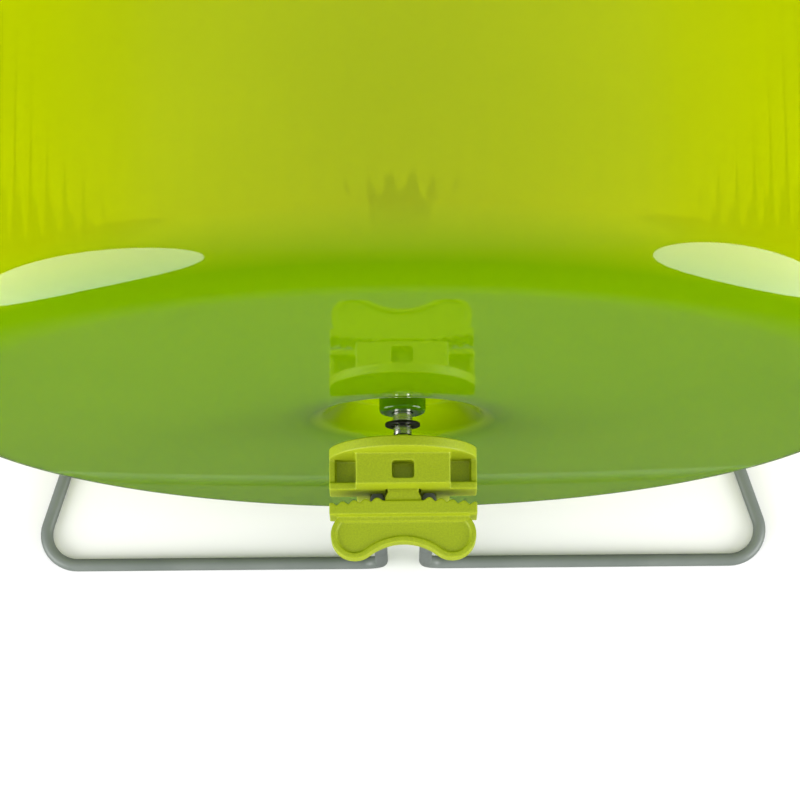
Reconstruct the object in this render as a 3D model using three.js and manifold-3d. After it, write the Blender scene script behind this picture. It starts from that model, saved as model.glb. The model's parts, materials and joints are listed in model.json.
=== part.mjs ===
// Exercise wheel for a small rodent, on a wire stand, with a clamp for the bars of a cage.
//
// Millimetres, +Z up. The animal runs in at the open front, which faces +Y. The clamp is
// behind the closed back, at -Y. The pieces are drawn round the axle: the axle lies on
// Y = 0 upwards, and Y = 0 is the plane of the wheel's back at its hub. The last group
// moves them so that the origin is on the floor, under the middle of the whole object.

import * as THREE from 'three';
import { mergeVertices } from 'three/addons/utils/BufferGeometryUtils.js';
import Module from 'manifold-3d';

const wasm = await Module();
wasm.setup();

// Left between two pieces that touch
const MATING_GAP = 0.3;

// Wheel
const WHEEL_RADIUS = 140;
const WHEEL_DEPTH = 90;
const WALL = 2.4;
const EDGE_RADIUS = 17.5;
const BACK_DOME = 1.5;
const WALL_DRAFT = 0.5;
const AXLE_HEIGHT = 150;
const RECESS_RIM_RADIUS = 25.5;
const RECESS_FLOOR_RADIUS = 16;
const RECESS_DEPTH = 8;

// Hub, drawn from back to front
const BOSS_RADIUS = 6.4;
const BOSS_BACK = 2.1;
const BOSS_LIP_RADIUS = 2.95;
const HUB_RADIUS = 6.8;
const SEAT_RADIUS = 5.8;
const SHOULDER_RADIUS = 4.6;
const SEAT_DEPTH = 5.8;
const REAR_SEAT_BACK = 3.1;
const HUB_FRONT = 60;
const CAP_OVERLAP = 4.5;
const CAP_LENGTH = 15;
const CAP_WALL = 1.6;

// Ball bearings, 5 x 11 x 5
const BEARING_HALF_WIDTH = 2.5;
const REAR_BEARING_MIDDLE = REAR_SEAT_BACK + SEAT_DEPTH / 2;
const FRONT_BEARING_MIDDLE = HUB_FRONT - SEAT_DEPTH / 2;
const OUTER_RING_RADIUS = 5.55;
const OUTER_RING_BORE = 4.65;
const INNER_RING_RADIUS = 3.35;
const INNER_RING_BORE = 2.65;
const GROOVE_DEPTH = 0.22;
const GROOVE_HALF_WIDTH = 0.7;
const SHIELD_STEP_HALF_WIDTH = 1.75;
const SHIELD_STEP_DEPTH = 0.35;
const BALL_COUNT = 8;
const BALL_RADIUS = 0.75;
const BALL_CIRCLE_RADIUS = 4;
const SPACER_BORE = 2.7;
const SPACER_RADIUS = 3.1;
const SHIELD_MIDDLE = 2.1;
const SHIELD_THICKNESS = 0.3;
const SHIELD_LIP = 0.2;
const CAGE_RING_BACK = 1.05;
const CAGE_RING_WIDTH = 0.4;
const CAGE_FINGER_LENGTH = 1.8;
const CAGE_FINGER_WIDTH = 0.5;
const CAGE_FINGER_THICKNESS = 0.7;

// Axle and what is threaded or clipped on it
const AXLE_RADIUS = 2.5;
const AXLE_SHOULDER_RADIUS = 2.7;
const AXLE_FRONT = HUB_FRONT + 7;
const AXLE_HEAD_RADIUS = 4.2;
const AXLE_HEAD_FRONT = -10.3;
const AXLE_HEAD_THICKNESS = 2;
const CLIP_MIDDLE = -1.1;
const CLIP_THICKNESS = 0.7;
const CLIP_RADIUS = 4.8;
const CLIP_GROOVE_RADIUS = 2;
const CLIP_BORE = 3.3;
const CLIP_MOUTH_HALF_WIDTH = 2.1;
const CLIP_PAD_LENGTH = 1.6;
const CLIP_PAD_WIDTH = 1.5;
const CLIP_GROOVE_WIDTH = 1.1;
const NUT_ACROSS_FLATS = 8;
const NUT_THICKNESS = 3.7;
const NUT_CHAMFER = 0.5;
const WASHER_RADIUS = 4.4;
const WASHER_THICKNESS = 1;
const THREAD_CLEARANCE_RADIUS = 2.75;

// Clamp body, from its round flange back to its inner jaw
const FLANGE_FRONT = -8.6;
const FLANGE_BACK = -11.6;
const FLANGE_RADIUS = 20.5;
const CLAMP_HALF_WIDTH = 20;
const JAW_HALF_HEIGHT = 5;
const INNER_JAW_FRONT = -18.1;
const INNER_JAW_BACK = -20.1;
const BLOCK_HALF_WIDTH = 12.7;
const BLOCK_HALF_HEIGHT = 12.8;
const SIDE_WALL = 1.6;
const SIDE_WEB = 2.8;
const WINDOW_HALF_WIDTH = 3;
const WINDOW_FRONT = -13.7;
const WINDOW_BACK = -18.6;
const TONGUE_TOP = 8.2;
const TONGUE_SLOT = 0.5;
const CHANNEL_HALF_WIDTH = 4.7;
const CHANNEL_HALF_HEIGHT = 4.9;
const HEAD_POCKET_FRONT = -10;
const HEAD_POCKET_RADIUS = 4.6;

// How far one solid runs into the next where they are joined into one piece
const JOIN = 0.5;

// Clamp slider
const STEM_HALF_WIDTH = 4.3;
const STEM_HALF_HEIGHT = 4.3;
const STEM_FRONT = -12.8;
const STEM_TOOTH_PITCH = 1.2;
const STEM_TOOTH_COUNT = 5;
const STEM_TOOTH_DEPTH = 0.6;
const NECK_FLARE_HALF_WIDTH = 4.9;
const NECK_FLARE_BACK = -22.4;
const OUTER_JAW_BACK = -26.9;
const OUTER_JAW_MIDDLE_FRONT = -23.1;
const OUTER_JAW_END_FRONT = -24.7;
const JAW_TOOTH_PITCH = 3.1;
const JAW_TOOTH_COUNT = 5;
const JAW_TOOTH_DEPTH = 1;
const GRIP_HALF_THICKNESS = 2.5;
const GRIP_LOBE_X = 13.2;
const GRIP_LOBE_Y = -32;
const GRIP_LOBE_RADIUS = 6.5;
const GRIP_WAIST_Y = -34;
const GRIP_RIM = 1.5;
const GRIP_PANEL_DEPTH = 0.7;

// Stand, one wire with both of its ends in the clamp
const WIRE_RADIUS = 2;
const WIRE_SIDES = 12;
const UPRIGHT_X = 6.95;
const UPRIGHT_TOP = -1.5;
const UPRIGHT_TOP_Y = -21.6;
const BASE_BACK_Y = -11.6;
const BASE_FRONT_Y = 76;
const BASE_HALF_WIDTH = 118;
const BASE_TAPER_DEG = 17.5;
const UPRIGHT_BEND = 6;
const BASE_BEND = 10;
const WIRE_SEAT_GAP = 0.35;
const WIRE_SEAT_TOP = -1.1;

// How finely round things are faceted
const DRUM_FACETS = 60;
const FINE_FACETS = 28;
const SMALL_FACETS = 20;
const BEND_STEPS = 5;

const GRIP_END_Y = GRIP_LOBE_Y - GRIP_LOBE_RADIUS;
const MIDDLE_Y = (WHEEL_DEPTH + GRIP_END_Y) / 2;

const materials = {
  greenClear: { color: 0x8bb81a, roughness: 0.15, metalness: 0 },
  limePlastic: { color: 0xa8bb21, roughness: 0.55, metalness: 0 },
  wireGrey: { color: 0x69736a, roughness: 0.45, metalness: 0.1 },
  steel: { color: 0xb8b8b4, roughness: 0.3, metalness: 1 },
  blackSteel: { color: 0x1c1c1c, roughness: 0.4, metalness: 0.6 },
  cagePlastic: { color: 0xe4e0d2, roughness: 0.5, metalness: 0 },
};

// ---------------------------------------------------------------- solids

// Merges shared corners, drops triangles with no area and turns the faces outwards.
function weld(geometry) {
  const bare = geometry.clone();
  bare.deleteAttribute('normal');
  bare.deleteAttribute('uv');
  const merged = mergeVertices(bare, 1e-4);
  const index = merged.index.array;
  const at = merged.attributes.position;
  const corner = [new THREE.Vector3(), new THREE.Vector3(), new THREE.Vector3()];
  const kept = [];
  let volume = 0;
  for (let i = 0; i < index.length; i += 3) {
    const [a, b, c] = [index[i], index[i + 1], index[i + 2]];
    if (a === b || b === c || c === a) {
      continue;
    }
    kept.push(a, b, c);
    [a, b, c].forEach((vertex, k) => corner[k].fromBufferAttribute(at, vertex));
    volume += corner[0].dot(corner[1].cross(corner[2]));
  }
  if (volume < 0) {
    kept.reverse();
  }
  merged.setIndex(kept);
  return merged;
}

function toSolid(geometry) {
  const welded = weld(geometry);
  return new wasm.Manifold(new wasm.Mesh({
    numProp: 3,
    vertProperties: new Float32Array(welded.attributes.position.array),
    triVerts: new Uint32Array(welded.index.array),
  }));
}

function toGeometry(solid) {
  const mesh = solid.getMesh();
  const geometry = new THREE.BufferGeometry();
  geometry.setAttribute('position', new THREE.BufferAttribute(mesh.vertProperties, 3));
  geometry.setIndex(new THREE.BufferAttribute(mesh.triVerts, 1));
  return geometry;
}

// A ring or disc round the Y axis, from a closed outline of [radius, y] corners.
function turned(outline, facets) {
  const points = outline.map(([radius, y]) => new THREE.Vector2(radius, y));
  points.push(points[0].clone());
  return toSolid(new THREE.LatheGeometry(points, facets));
}

function ring(inner, outer, back, front, facets = SMALL_FACETS) {
  return turned([[inner, back], [outer, back], [outer, front], [inner, front]], facets);
}

function rod(radius, back, front, facets = SMALL_FACETS) {
  return turned([[0, back], [radius, back], [radius, front], [0, front]], facets);
}

// An X-Z outline, pushed from one Y to another.
function plateAcross(shape, back, front, curveSegments = 12) {
  const geometry = new THREE.ExtrudeGeometry(shape, {
    depth: front - back,
    bevelEnabled: false,
    curveSegments,
  });
  geometry.rotateX(Math.PI / 2);
  geometry.translate(0, front, 0);
  return toSolid(geometry);
}

// An X-Y outline, pushed upwards from one height to another.
function plateLevel(shape, bottom, top, curveSegments = 10) {
  const geometry = new THREE.ExtrudeGeometry(shape, {
    depth: top - bottom,
    bevelEnabled: false,
    curveSegments,
  });
  geometry.translate(0, 0, bottom);
  return toSolid(geometry);
}

// A Y-Z outline, pushed from one X to another.
function plateSideways(shape, left, right) {
  const geometry = new THREE.ExtrudeGeometry(shape, { depth: right - left, bevelEnabled: false });
  const yAxis = new THREE.Vector3(0, 1, 0);
  const zAxis = new THREE.Vector3(0, 0, 1);
  const xAxis = new THREE.Vector3(1, 0, 0);
  geometry.applyMatrix4(new THREE.Matrix4().makeBasis(yAxis, zAxis, xAxis));
  geometry.translate(left, 0, 0);
  return toSolid(geometry);
}

function block(x0, x1, y0, y1, z0, z1) {
  const geometry = new THREE.BoxGeometry(x1 - x0, y1 - y0, z1 - z0);
  geometry.translate((x0 + x1) / 2, (y0 + y1) / 2, (z0 + z1) / 2);
  return toSolid(geometry);
}

function polygon(corners) {
  return new THREE.Shape(corners.map(([x, y]) => new THREE.Vector2(x, y)));
}

function roundedRectangle(halfWidth, halfHeight, radius) {
  const shape = new THREE.Shape();
  shape.absarc(halfWidth - radius, halfHeight - radius, radius, 0, Math.PI / 2);
  shape.absarc(radius - halfWidth, halfHeight - radius, radius, Math.PI / 2, Math.PI);
  shape.absarc(radius - halfWidth, radius - halfHeight, radius, Math.PI, Math.PI * 1.5);
  shape.absarc(halfWidth - radius, radius - halfHeight, radius, Math.PI * 1.5, Math.PI * 2);
  return shape;
}

function joined(solids) {
  return solids.reduce((whole, solid) => whole.add(solid));
}

function piece(name, solid, look) {
  const mesh = new THREE.Mesh(toGeometry(solid), new THREE.MeshStandardMaterial(materials[look]));
  mesh.name = name;
  return mesh;
}

// ---------------------------------------------------------------- wheel

function arcPoints(centreRadius, centreY, radius, fromDeg, toDeg, steps) {
  const points = [];
  for (let i = 0; i <= steps; i += 1) {
    const angle = THREE.MathUtils.degToRad(fromDeg + ((toDeg - fromDeg) * i) / steps);
    points.push([centreRadius + radius * Math.cos(angle), centreY + radius * Math.sin(angle)]);
  }
  return points;
}

// The back of the wheel bulges a little: its middle lies behind its rim.
function backPoints(fromRadius, toRadius, lift, steps) {
  const points = [];
  for (let i = 0; i <= steps; i += 1) {
    const radius = fromRadius + ((toRadius - fromRadius) * i) / steps;
    const flatRadius = WHEEL_RADIUS - EDGE_RADIUS;
    points.push([radius, lift + BACK_DOME * (radius / flatRadius) ** 2]);
  }
  return points;
}

function wheelDrum() {
  const flatRadius = WHEEL_RADIUS - WALL_DRAFT - EDGE_RADIUS;
  const edgeY = BACK_DOME + EDGE_RADIUS;
  const wallRadius = WHEEL_RADIUS - WALL_DRAFT;
  const outside = [
    [BOSS_LIP_RADIUS, BOSS_BACK],
    [BOSS_RADIUS - 1, BOSS_BACK],
    [BOSS_RADIUS, BOSS_BACK + 1],
    [BOSS_RADIUS, RECESS_DEPTH],
    [RECESS_FLOOR_RADIUS, RECESS_DEPTH],
    [RECESS_FLOOR_RADIUS + 2.5, RECESS_DEPTH - 2],
    [RECESS_RIM_RADIUS - 2.5, 1.6],
    ...backPoints(RECESS_RIM_RADIUS, flatRadius - 8, 0, 3),
    ...arcPoints(flatRadius, edgeY, EDGE_RADIUS, -90, 0, 6),
    [WHEEL_RADIUS, WHEEL_DEPTH - 3],
    [WHEEL_RADIUS, WHEEL_DEPTH - 1],
    [WHEEL_RADIUS - 1.2, WHEEL_DEPTH],
  ];
  const inside = [
    [WHEEL_RADIUS - WALL - 0.4, WHEEL_DEPTH],
    [WHEEL_RADIUS - WALL - 1, WHEEL_DEPTH - 1],
    [WHEEL_RADIUS - WALL, WHEEL_DEPTH - 3],
    [wallRadius - WALL, edgeY],
    ...arcPoints(flatRadius, edgeY, EDGE_RADIUS - WALL, 0, -90, 5).slice(1),
    ...backPoints(RECESS_RIM_RADIUS + 1.5, flatRadius - 8, WALL, 3).reverse(),
    [RECESS_FLOOR_RADIUS + 4, RECESS_DEPTH],
    [RECESS_FLOOR_RADIUS + 1.5, RECESS_DEPTH + WALL],
    [HUB_RADIUS + 2, RECESS_DEPTH + WALL],
    [HUB_RADIUS, RECESS_DEPTH + WALL + 2],
    [HUB_RADIUS, HUB_FRONT],
    [SEAT_RADIUS, HUB_FRONT],
    [SEAT_RADIUS, HUB_FRONT - SEAT_DEPTH],
    [SHOULDER_RADIUS, HUB_FRONT - SEAT_DEPTH],
    [SHOULDER_RADIUS, REAR_SEAT_BACK + SEAT_DEPTH],
    [SEAT_RADIUS, REAR_SEAT_BACK + SEAT_DEPTH],
    [SEAT_RADIUS, REAR_SEAT_BACK],
    [BOSS_LIP_RADIUS, REAR_SEAT_BACK],
  ];
  return turned([...outside, ...inside], DRUM_FACETS);
}

// The cap pushes over the front of the hub and keeps the animal off the nut.
function hubCap() {
  const skirtBack = HUB_FRONT - CAP_OVERLAP;
  const capFront = skirtBack + CAP_LENGTH;
  const skirtInner = HUB_RADIUS + MATING_GAP;
  const skirtOuter = skirtInner + CAP_WALL;
  return turned([
    [0, capFront],
    [skirtOuter - 3.5, capFront - 0.5],
    [skirtOuter - 0.7, capFront - 1.8],
    [skirtOuter, capFront - 4],
    [skirtOuter, skirtBack],
    [skirtInner, skirtBack],
    [skirtInner, capFront - 4],
    [skirtInner - 1, capFront - 1.5 * CAP_WALL],
    [0, capFront - CAP_WALL],
  ].reverse(), FINE_FACETS);
}

// ---------------------------------------------------------------- bearings

function outerRing(middle) {
  const stepBore = OUTER_RING_BORE + SHIELD_STEP_DEPTH;
  return turned([
    [OUTER_RING_RADIUS, middle - BEARING_HALF_WIDTH],
    [OUTER_RING_RADIUS, middle + BEARING_HALF_WIDTH],
    [stepBore, middle + BEARING_HALF_WIDTH],
    [stepBore, middle + SHIELD_STEP_HALF_WIDTH],
    [OUTER_RING_BORE, middle + SHIELD_STEP_HALF_WIDTH],
    [OUTER_RING_BORE, middle + GROOVE_HALF_WIDTH],
    [OUTER_RING_BORE + GROOVE_DEPTH, middle],
    [OUTER_RING_BORE, middle - GROOVE_HALF_WIDTH],
    [OUTER_RING_BORE, middle - SHIELD_STEP_HALF_WIDTH],
    [stepBore, middle - SHIELD_STEP_HALF_WIDTH],
    [stepBore, middle - BEARING_HALF_WIDTH],
  ], SMALL_FACETS);
}

function innerRing(middle) {
  return turned([
    [INNER_RING_BORE, middle - BEARING_HALF_WIDTH],
    [INNER_RING_RADIUS, middle - BEARING_HALF_WIDTH],
    [INNER_RING_RADIUS, middle - GROOVE_HALF_WIDTH],
    [INNER_RING_RADIUS - GROOVE_DEPTH, middle],
    [INNER_RING_RADIUS, middle + GROOVE_HALF_WIDTH],
    [INNER_RING_RADIUS, middle + BEARING_HALF_WIDTH],
    [INNER_RING_BORE, middle + BEARING_HALF_WIDTH],
  ], SMALL_FACETS);
}

function onBallCircle(geometry, step) {
  geometry.translate(BALL_CIRCLE_RADIUS, 0, 0);
  geometry.rotateY((step / BALL_COUNT) * Math.PI * 2);
  return geometry;
}

function balls(place, middle) {
  const all = [];
  for (let i = 0; i < BALL_COUNT; i += 1) {
    const ball = onBallCircle(new THREE.SphereGeometry(BALL_RADIUS, 8, 6), i);
    ball.translate(0, middle, 0);
    all.push(piece(`${place}_bearing_ball_${i + 1}`, toSolid(ball), 'steel'));
  }
  return all;
}

// A crown cage: a ring in front of the balls, with a finger between each two of them.
function ballCage(middle) {
  const inner = BALL_CIRCLE_RADIUS - CAGE_RING_WIDTH;
  const outer = BALL_CIRCLE_RADIUS + CAGE_RING_WIDTH;
  const back = middle + CAGE_RING_BACK;
  const parts = [ring(inner, outer, back, back + CAGE_RING_WIDTH)];
  for (let i = 0; i < BALL_COUNT; i += 1) {
    const finger = onBallCircle(new THREE.BoxGeometry(
      CAGE_FINGER_WIDTH,
      CAGE_FINGER_LENGTH,
      CAGE_FINGER_THICKNESS,
    ), i + 0.5);
    finger.translate(0, back + (CAGE_RING_WIDTH - CAGE_FINGER_LENGTH) / 2, 0);
    parts.push(toSolid(finger));
  }
  return joined(parts);
}

function shield(middle) {
  const inner = INNER_RING_RADIUS + SHIELD_LIP;
  const outer = OUTER_RING_BORE + SHIELD_LIP;
  return ring(inner, outer, middle - SHIELD_THICKNESS / 2, middle + SHIELD_THICKNESS / 2);
}

// One bearing, as the separate pieces that it is made of.
function bearing(place, middle) {
  return [
    piece(`${place}_bearing_outer_ring`, outerRing(middle), 'steel'),
    piece(`${place}_bearing_inner_ring`, innerRing(middle), 'steel'),
    ...balls(place, middle),
    piece(`${place}_bearing_cage`, ballCage(middle), 'cagePlastic'),
    piece(`${place}_bearing_back_shield`, shield(middle - SHIELD_MIDDLE), 'steel'),
    piece(`${place}_bearing_front_shield`, shield(middle + SHIELD_MIDDLE), 'steel'),
  ];
}

// The sleeve that keeps the two inner rings apart.
function bearingSpacer() {
  const back = REAR_BEARING_MIDDLE + BEARING_HALF_WIDTH + MATING_GAP;
  const front = FRONT_BEARING_MIDDLE - BEARING_HALF_WIDTH - MATING_GAP;
  return ring(SPACER_BORE, SPACER_RADIUS, back, front);
}

// ---------------------------------------------------------------- axle

function axle() {
  const headBack = AXLE_HEAD_FRONT - AXLE_HEAD_THICKNESS;
  const grooveBack = CLIP_MIDDLE - CLIP_GROOVE_WIDTH / 2;
  const grooveFront = CLIP_MIDDLE + CLIP_GROOVE_WIDTH / 2;
  const shoulderFront = REAR_BEARING_MIDDLE - BEARING_HALF_WIDTH - MATING_GAP;
  return turned([
    [0, headBack],
    [AXLE_HEAD_RADIUS - 0.4, headBack],
    [AXLE_HEAD_RADIUS, headBack + 0.4],
    [AXLE_HEAD_RADIUS, AXLE_HEAD_FRONT],
    [AXLE_RADIUS, AXLE_HEAD_FRONT],
    [AXLE_RADIUS, grooveBack],
    [CLIP_GROOVE_RADIUS, grooveBack],
    [CLIP_GROOVE_RADIUS, grooveFront],
    [AXLE_SHOULDER_RADIUS, grooveFront],
    [AXLE_SHOULDER_RADIUS, shoulderFront],
    [AXLE_RADIUS, shoulderFront],
    [AXLE_RADIUS, AXLE_FRONT - 0.5],
    [AXLE_RADIUS - 0.5, AXLE_FRONT],
    [0, AXLE_FRONT],
  ], SMALL_FACETS);
}

// An E-clip, open at the bottom, with three pads that reach into the axle's groove.
function axleClip() {
  const back = CLIP_MIDDLE - CLIP_THICKNESS / 2;
  const front = CLIP_MIDDLE + CLIP_THICKNESS / 2;
  const disc = ring(CLIP_BORE, CLIP_RADIUS, back, front, FINE_FACETS);
  const mouth = block(
    -CLIP_MOUTH_HALF_WIDTH,
    CLIP_MOUTH_HALF_WIDTH,
    back - 1,
    front + 1,
    -CLIP_RADIUS - 1,
    -1,
  );
  const padMiddle = CLIP_GROOVE_RADIUS + MATING_GAP + CLIP_PAD_LENGTH / 2;
  const pads = [20, 90, 160].map((degrees) => {
    const pad = new THREE.BoxGeometry(CLIP_PAD_LENGTH, CLIP_THICKNESS, CLIP_PAD_WIDTH);
    pad.translate(padMiddle, CLIP_MIDDLE, 0);
    pad.rotateY(-THREE.MathUtils.degToRad(degrees));
    return toSolid(pad);
  });
  return joined([disc, ...pads]).subtract(mouth);
}

function hexNut(back, front) {
  const corner = NUT_ACROSS_FLATS / 2 / Math.cos(Math.PI / 6);
  const hexagon = [];
  for (let i = 0; i < 6; i += 1) {
    const angle = (i * Math.PI) / 3;
    hexagon.push([corner * Math.cos(angle), corner * Math.sin(angle)]);
  }
  const round = turned([
    [THREAD_CLEARANCE_RADIUS, back],
    [corner - NUT_CHAMFER, back],
    [corner, back + NUT_CHAMFER],
    [corner, front - NUT_CHAMFER],
    [corner - NUT_CHAMFER, front],
    [THREAD_CLEARANCE_RADIUS, front],
  ], SMALL_FACETS);
  return plateAcross(polygon(hexagon), back - 1, front + 1).intersect(round);
}

function axlePieces() {
  const washerBack = FRONT_BEARING_MIDDLE + BEARING_HALF_WIDTH + MATING_GAP;
  const washerFront = washerBack + WASHER_THICKNESS;
  const washer = ring(THREAD_CLEARANCE_RADIUS, WASHER_RADIUS, washerBack, washerFront);
  const lockNutBack = washerFront + MATING_GAP;
  const clampNutBack = FLANGE_FRONT + MATING_GAP;
  return [
    piece('axle', axle(), 'steel'),
    piece('axle_clip', axleClip(), 'blackSteel'),
    piece('clamp_nut', hexNut(clampNutBack, clampNutBack + NUT_THICKNESS), 'steel'),
    piece('bearing_spacer', bearingSpacer(), 'steel'),
    piece('front_washer', washer, 'steel'),
    piece('front_lock_nut', hexNut(lockNutBack, lockNutBack + NUT_THICKNESS), 'steel'),
  ];
}

// ---------------------------------------------------------------- clamp

// The slanted round channel that seats one upright of the stand in the clamp's jaws.
function uprightSeat(side) {
  const length = 60;
  const geometry = new THREE.CylinderGeometry(
    WIRE_RADIUS + WIRE_SEAT_GAP,
    WIRE_RADIUS + WIRE_SEAT_GAP,
    length,
    16,
  );
  geometry.rotateX(Math.PI / 2);
  geometry.translate(0, 0, -length / 2 + WIRE_SEAT_TOP);
  geometry.rotateX(-uprightLean());
  geometry.translate(side * UPRIGHT_X, UPRIGHT_TOP_Y, 0);
  return toSolid(geometry);
}

// A window over a springy tongue that drops into the ratchet of the slider's stem.
function latchWindow(side) {
  const clear = BLOCK_HALF_HEIGHT + 1;
  const slotInner = CHANNEL_HALF_HEIGHT - 1;
  const floor = Math.min(side * TONGUE_TOP, side * clear);
  const ceiling = Math.max(side * TONGUE_TOP, side * clear);
  const slotFrom = Math.min(side * slotInner, side * (TONGUE_TOP + 1));
  const slotTo = Math.max(side * slotInner, side * (TONGUE_TOP + 1));
  const inner = WINDOW_HALF_WIDTH - TONGUE_SLOT;
  return joined([
    block(-WINDOW_HALF_WIDTH, WINDOW_HALF_WIDTH, WINDOW_BACK, WINDOW_FRONT, floor, ceiling),
    block(-WINDOW_HALF_WIDTH, -inner, WINDOW_BACK + TONGUE_SLOT, WINDOW_FRONT, slotFrom, slotTo),
    block(inner, WINDOW_HALF_WIDTH, WINDOW_BACK + TONGUE_SLOT, WINDOW_FRONT, slotFrom, slotTo),
    block(
      -WINDOW_HALF_WIDTH,
      WINDOW_HALF_WIDTH,
      WINDOW_FRONT - TONGUE_SLOT,
      WINDOW_FRONT,
      slotFrom,
      slotTo,
    ),
  ]);
}

function clampBody() {
  const slab = block(
    -CLAMP_HALF_WIDTH,
    CLAMP_HALF_WIDTH,
    FLANGE_BACK - 1,
    FLANGE_FRONT + 1,
    -FLANGE_RADIUS,
    FLANGE_RADIUS,
  );
  const flange = rod(FLANGE_RADIUS, FLANGE_BACK, FLANGE_FRONT, 48).intersect(slab);
  const body = plateAcross(
    roundedRectangle(BLOCK_HALF_WIDTH, BLOCK_HALF_HEIGHT, 0.8),
    INNER_JAW_BACK,
    FLANGE_BACK + JOIN,
    2,
  );
  const innerJaw = plateAcross(
    roundedRectangle(CLAMP_HALF_WIDTH, JAW_HALF_HEIGHT, 1),
    INNER_JAW_BACK,
    INNER_JAW_FRONT,
    2,
  );
  const sideWalls = [-1, 1].map((side) => {
    const from = Math.min(side * CLAMP_HALF_WIDTH, side * (CLAMP_HALF_WIDTH - SIDE_WALL));
    return block(
      from,
      from + SIDE_WALL,
      INNER_JAW_FRONT - JOIN,
      FLANGE_BACK + JOIN,
      1 - JAW_HALF_HEIGHT,
      JAW_HALF_HEIGHT - 1,
    );
  });
  const web = block(
    1 - CLAMP_HALF_WIDTH,
    CLAMP_HALF_WIDTH - 1,
    INNER_JAW_FRONT - JOIN,
    FLANGE_BACK + JOIN,
    -SIDE_WEB / 2,
    SIDE_WEB / 2,
  );
  const channel = block(
    -CHANNEL_HALF_WIDTH,
    CHANNEL_HALF_WIDTH,
    INNER_JAW_BACK - 1,
    FLANGE_BACK,
    -CHANNEL_HALF_HEIGHT,
    CHANNEL_HALF_HEIGHT,
  );
  const cuts = joined([
    channel,
    rod(HEAD_POCKET_RADIUS, FLANGE_BACK - JOIN, HEAD_POCKET_FRONT),
    rod(THREAD_CLEARANCE_RADIUS, FLANGE_BACK, FLANGE_FRONT + 1),
    latchWindow(-1),
    latchWindow(1),
    uprightSeat(-1),
    uprightSeat(1),
  ]);
  return joined([flange, body, innerJaw, ...sideWalls, web]).subtract(cuts);
}

// The bow-tie outline of the finger grip: two round lobes with a hollow waist between them.
function gripShape(inset) {
  const lobe = GRIP_LOBE_RADIUS - inset;
  const drop = GRIP_WAIST_Y - GRIP_LOBE_Y;
  const waist = (GRIP_LOBE_X ** 2 + drop ** 2 - GRIP_LOBE_RADIUS ** 2)
    / (2 * (GRIP_LOBE_RADIUS + drop));
  const waistRadius = waist + inset;
  const waistY = GRIP_WAIST_Y - waist;
  const lean = Math.atan2(GRIP_LOBE_X, GRIP_LOBE_Y - waistY);
  const shape = new THREE.Shape();
  shape.moveTo(-GRIP_LOBE_X, GRIP_LOBE_Y + lobe);
  shape.absarc(-GRIP_LOBE_X, GRIP_LOBE_Y, lobe, Math.PI / 2, Math.PI * 1.5 + lean, false);
  shape.absarc(0, waistY, waistRadius, Math.PI / 2 + lean, Math.PI / 2 - lean, true);
  shape.absarc(GRIP_LOBE_X, GRIP_LOBE_Y, lobe, Math.PI * 1.5 - lean, Math.PI * 2.5, false);
  shape.closePath();
  return shape;
}

function grip() {
  const lobes = plateLevel(gripShape(0), -GRIP_HALF_THICKNESS, GRIP_HALF_THICKNESS);
  const root = block(
    -GRIP_LOBE_X - 4,
    GRIP_LOBE_X + 4,
    GRIP_LOBE_Y + 2,
    OUTER_JAW_BACK + JOIN,
    -GRIP_HALF_THICKNESS,
    GRIP_HALF_THICKNESS,
  );
  const panelBottom = GRIP_HALF_THICKNESS - GRIP_PANEL_DEPTH;
  const behindJaw = block(-30, 30, -60, OUTER_JAW_BACK - GRIP_RIM, -10, 10);
  const panels = [
    plateLevel(gripShape(GRIP_RIM), panelBottom, 10),
    plateLevel(gripShape(GRIP_RIM), -10, -panelBottom),
  ].map((panel) => panel.intersect(behindJaw));
  return joined([lobes, root]).subtract(joined(panels));
}

// The serrated jaw, seen from above. Its teeth lie further back towards its ends.
function outerJawShape() {
  const half = [];
  const setback = OUTER_JAW_END_FRONT - OUTER_JAW_MIDDLE_FRONT;
  const slope = setback / (CLAMP_HALF_WIDTH - NECK_FLARE_HALF_WIDTH);
  const baseAt = (x) => OUTER_JAW_MIDDLE_FRONT + slope * (x - NECK_FLARE_HALF_WIDTH);
  for (let i = 0; i < JAW_TOOTH_COUNT; i += 1) {
    const tip = CLAMP_HALF_WIDTH - 0.5 - (JAW_TOOTH_COUNT - 1 - i) * JAW_TOOTH_PITCH;
    half.push([tip - JAW_TOOTH_PITCH / 2, baseAt(tip - JAW_TOOTH_PITCH / 2)]);
    half.push([tip - 0.4, baseAt(tip) + JAW_TOOTH_DEPTH]);
    half.push([tip + 0.4, baseAt(tip) + JAW_TOOTH_DEPTH]);
  }
  half.push([CLAMP_HALF_WIDTH, baseAt(CLAMP_HALF_WIDTH) + 0.4]);
  half.push([CLAMP_HALF_WIDTH, OUTER_JAW_BACK]);
  const mirrored = half.map(([x, y]) => [-x, y]).reverse();
  return polygon([...half, ...mirrored]);
}

function neckShape() {
  return polygon([
    [-STEM_HALF_WIDTH, STEM_FRONT],
    [-STEM_HALF_WIDTH, INNER_JAW_BACK + 0.5],
    [-STEM_HALF_WIDTH + 0.2, INNER_JAW_BACK - 0.5],
    [-NECK_FLARE_HALF_WIDTH, NECK_FLARE_BACK],
    [-NECK_FLARE_HALF_WIDTH, OUTER_JAW_BACK + 1],
    [NECK_FLARE_HALF_WIDTH, OUTER_JAW_BACK + 1],
    [NECK_FLARE_HALF_WIDTH, NECK_FLARE_BACK],
    [STEM_HALF_WIDTH - 0.2, INNER_JAW_BACK - 0.5],
    [STEM_HALF_WIDTH, INNER_JAW_BACK + 0.5],
    [STEM_HALF_WIDTH, STEM_FRONT],
  ]);
}

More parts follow.
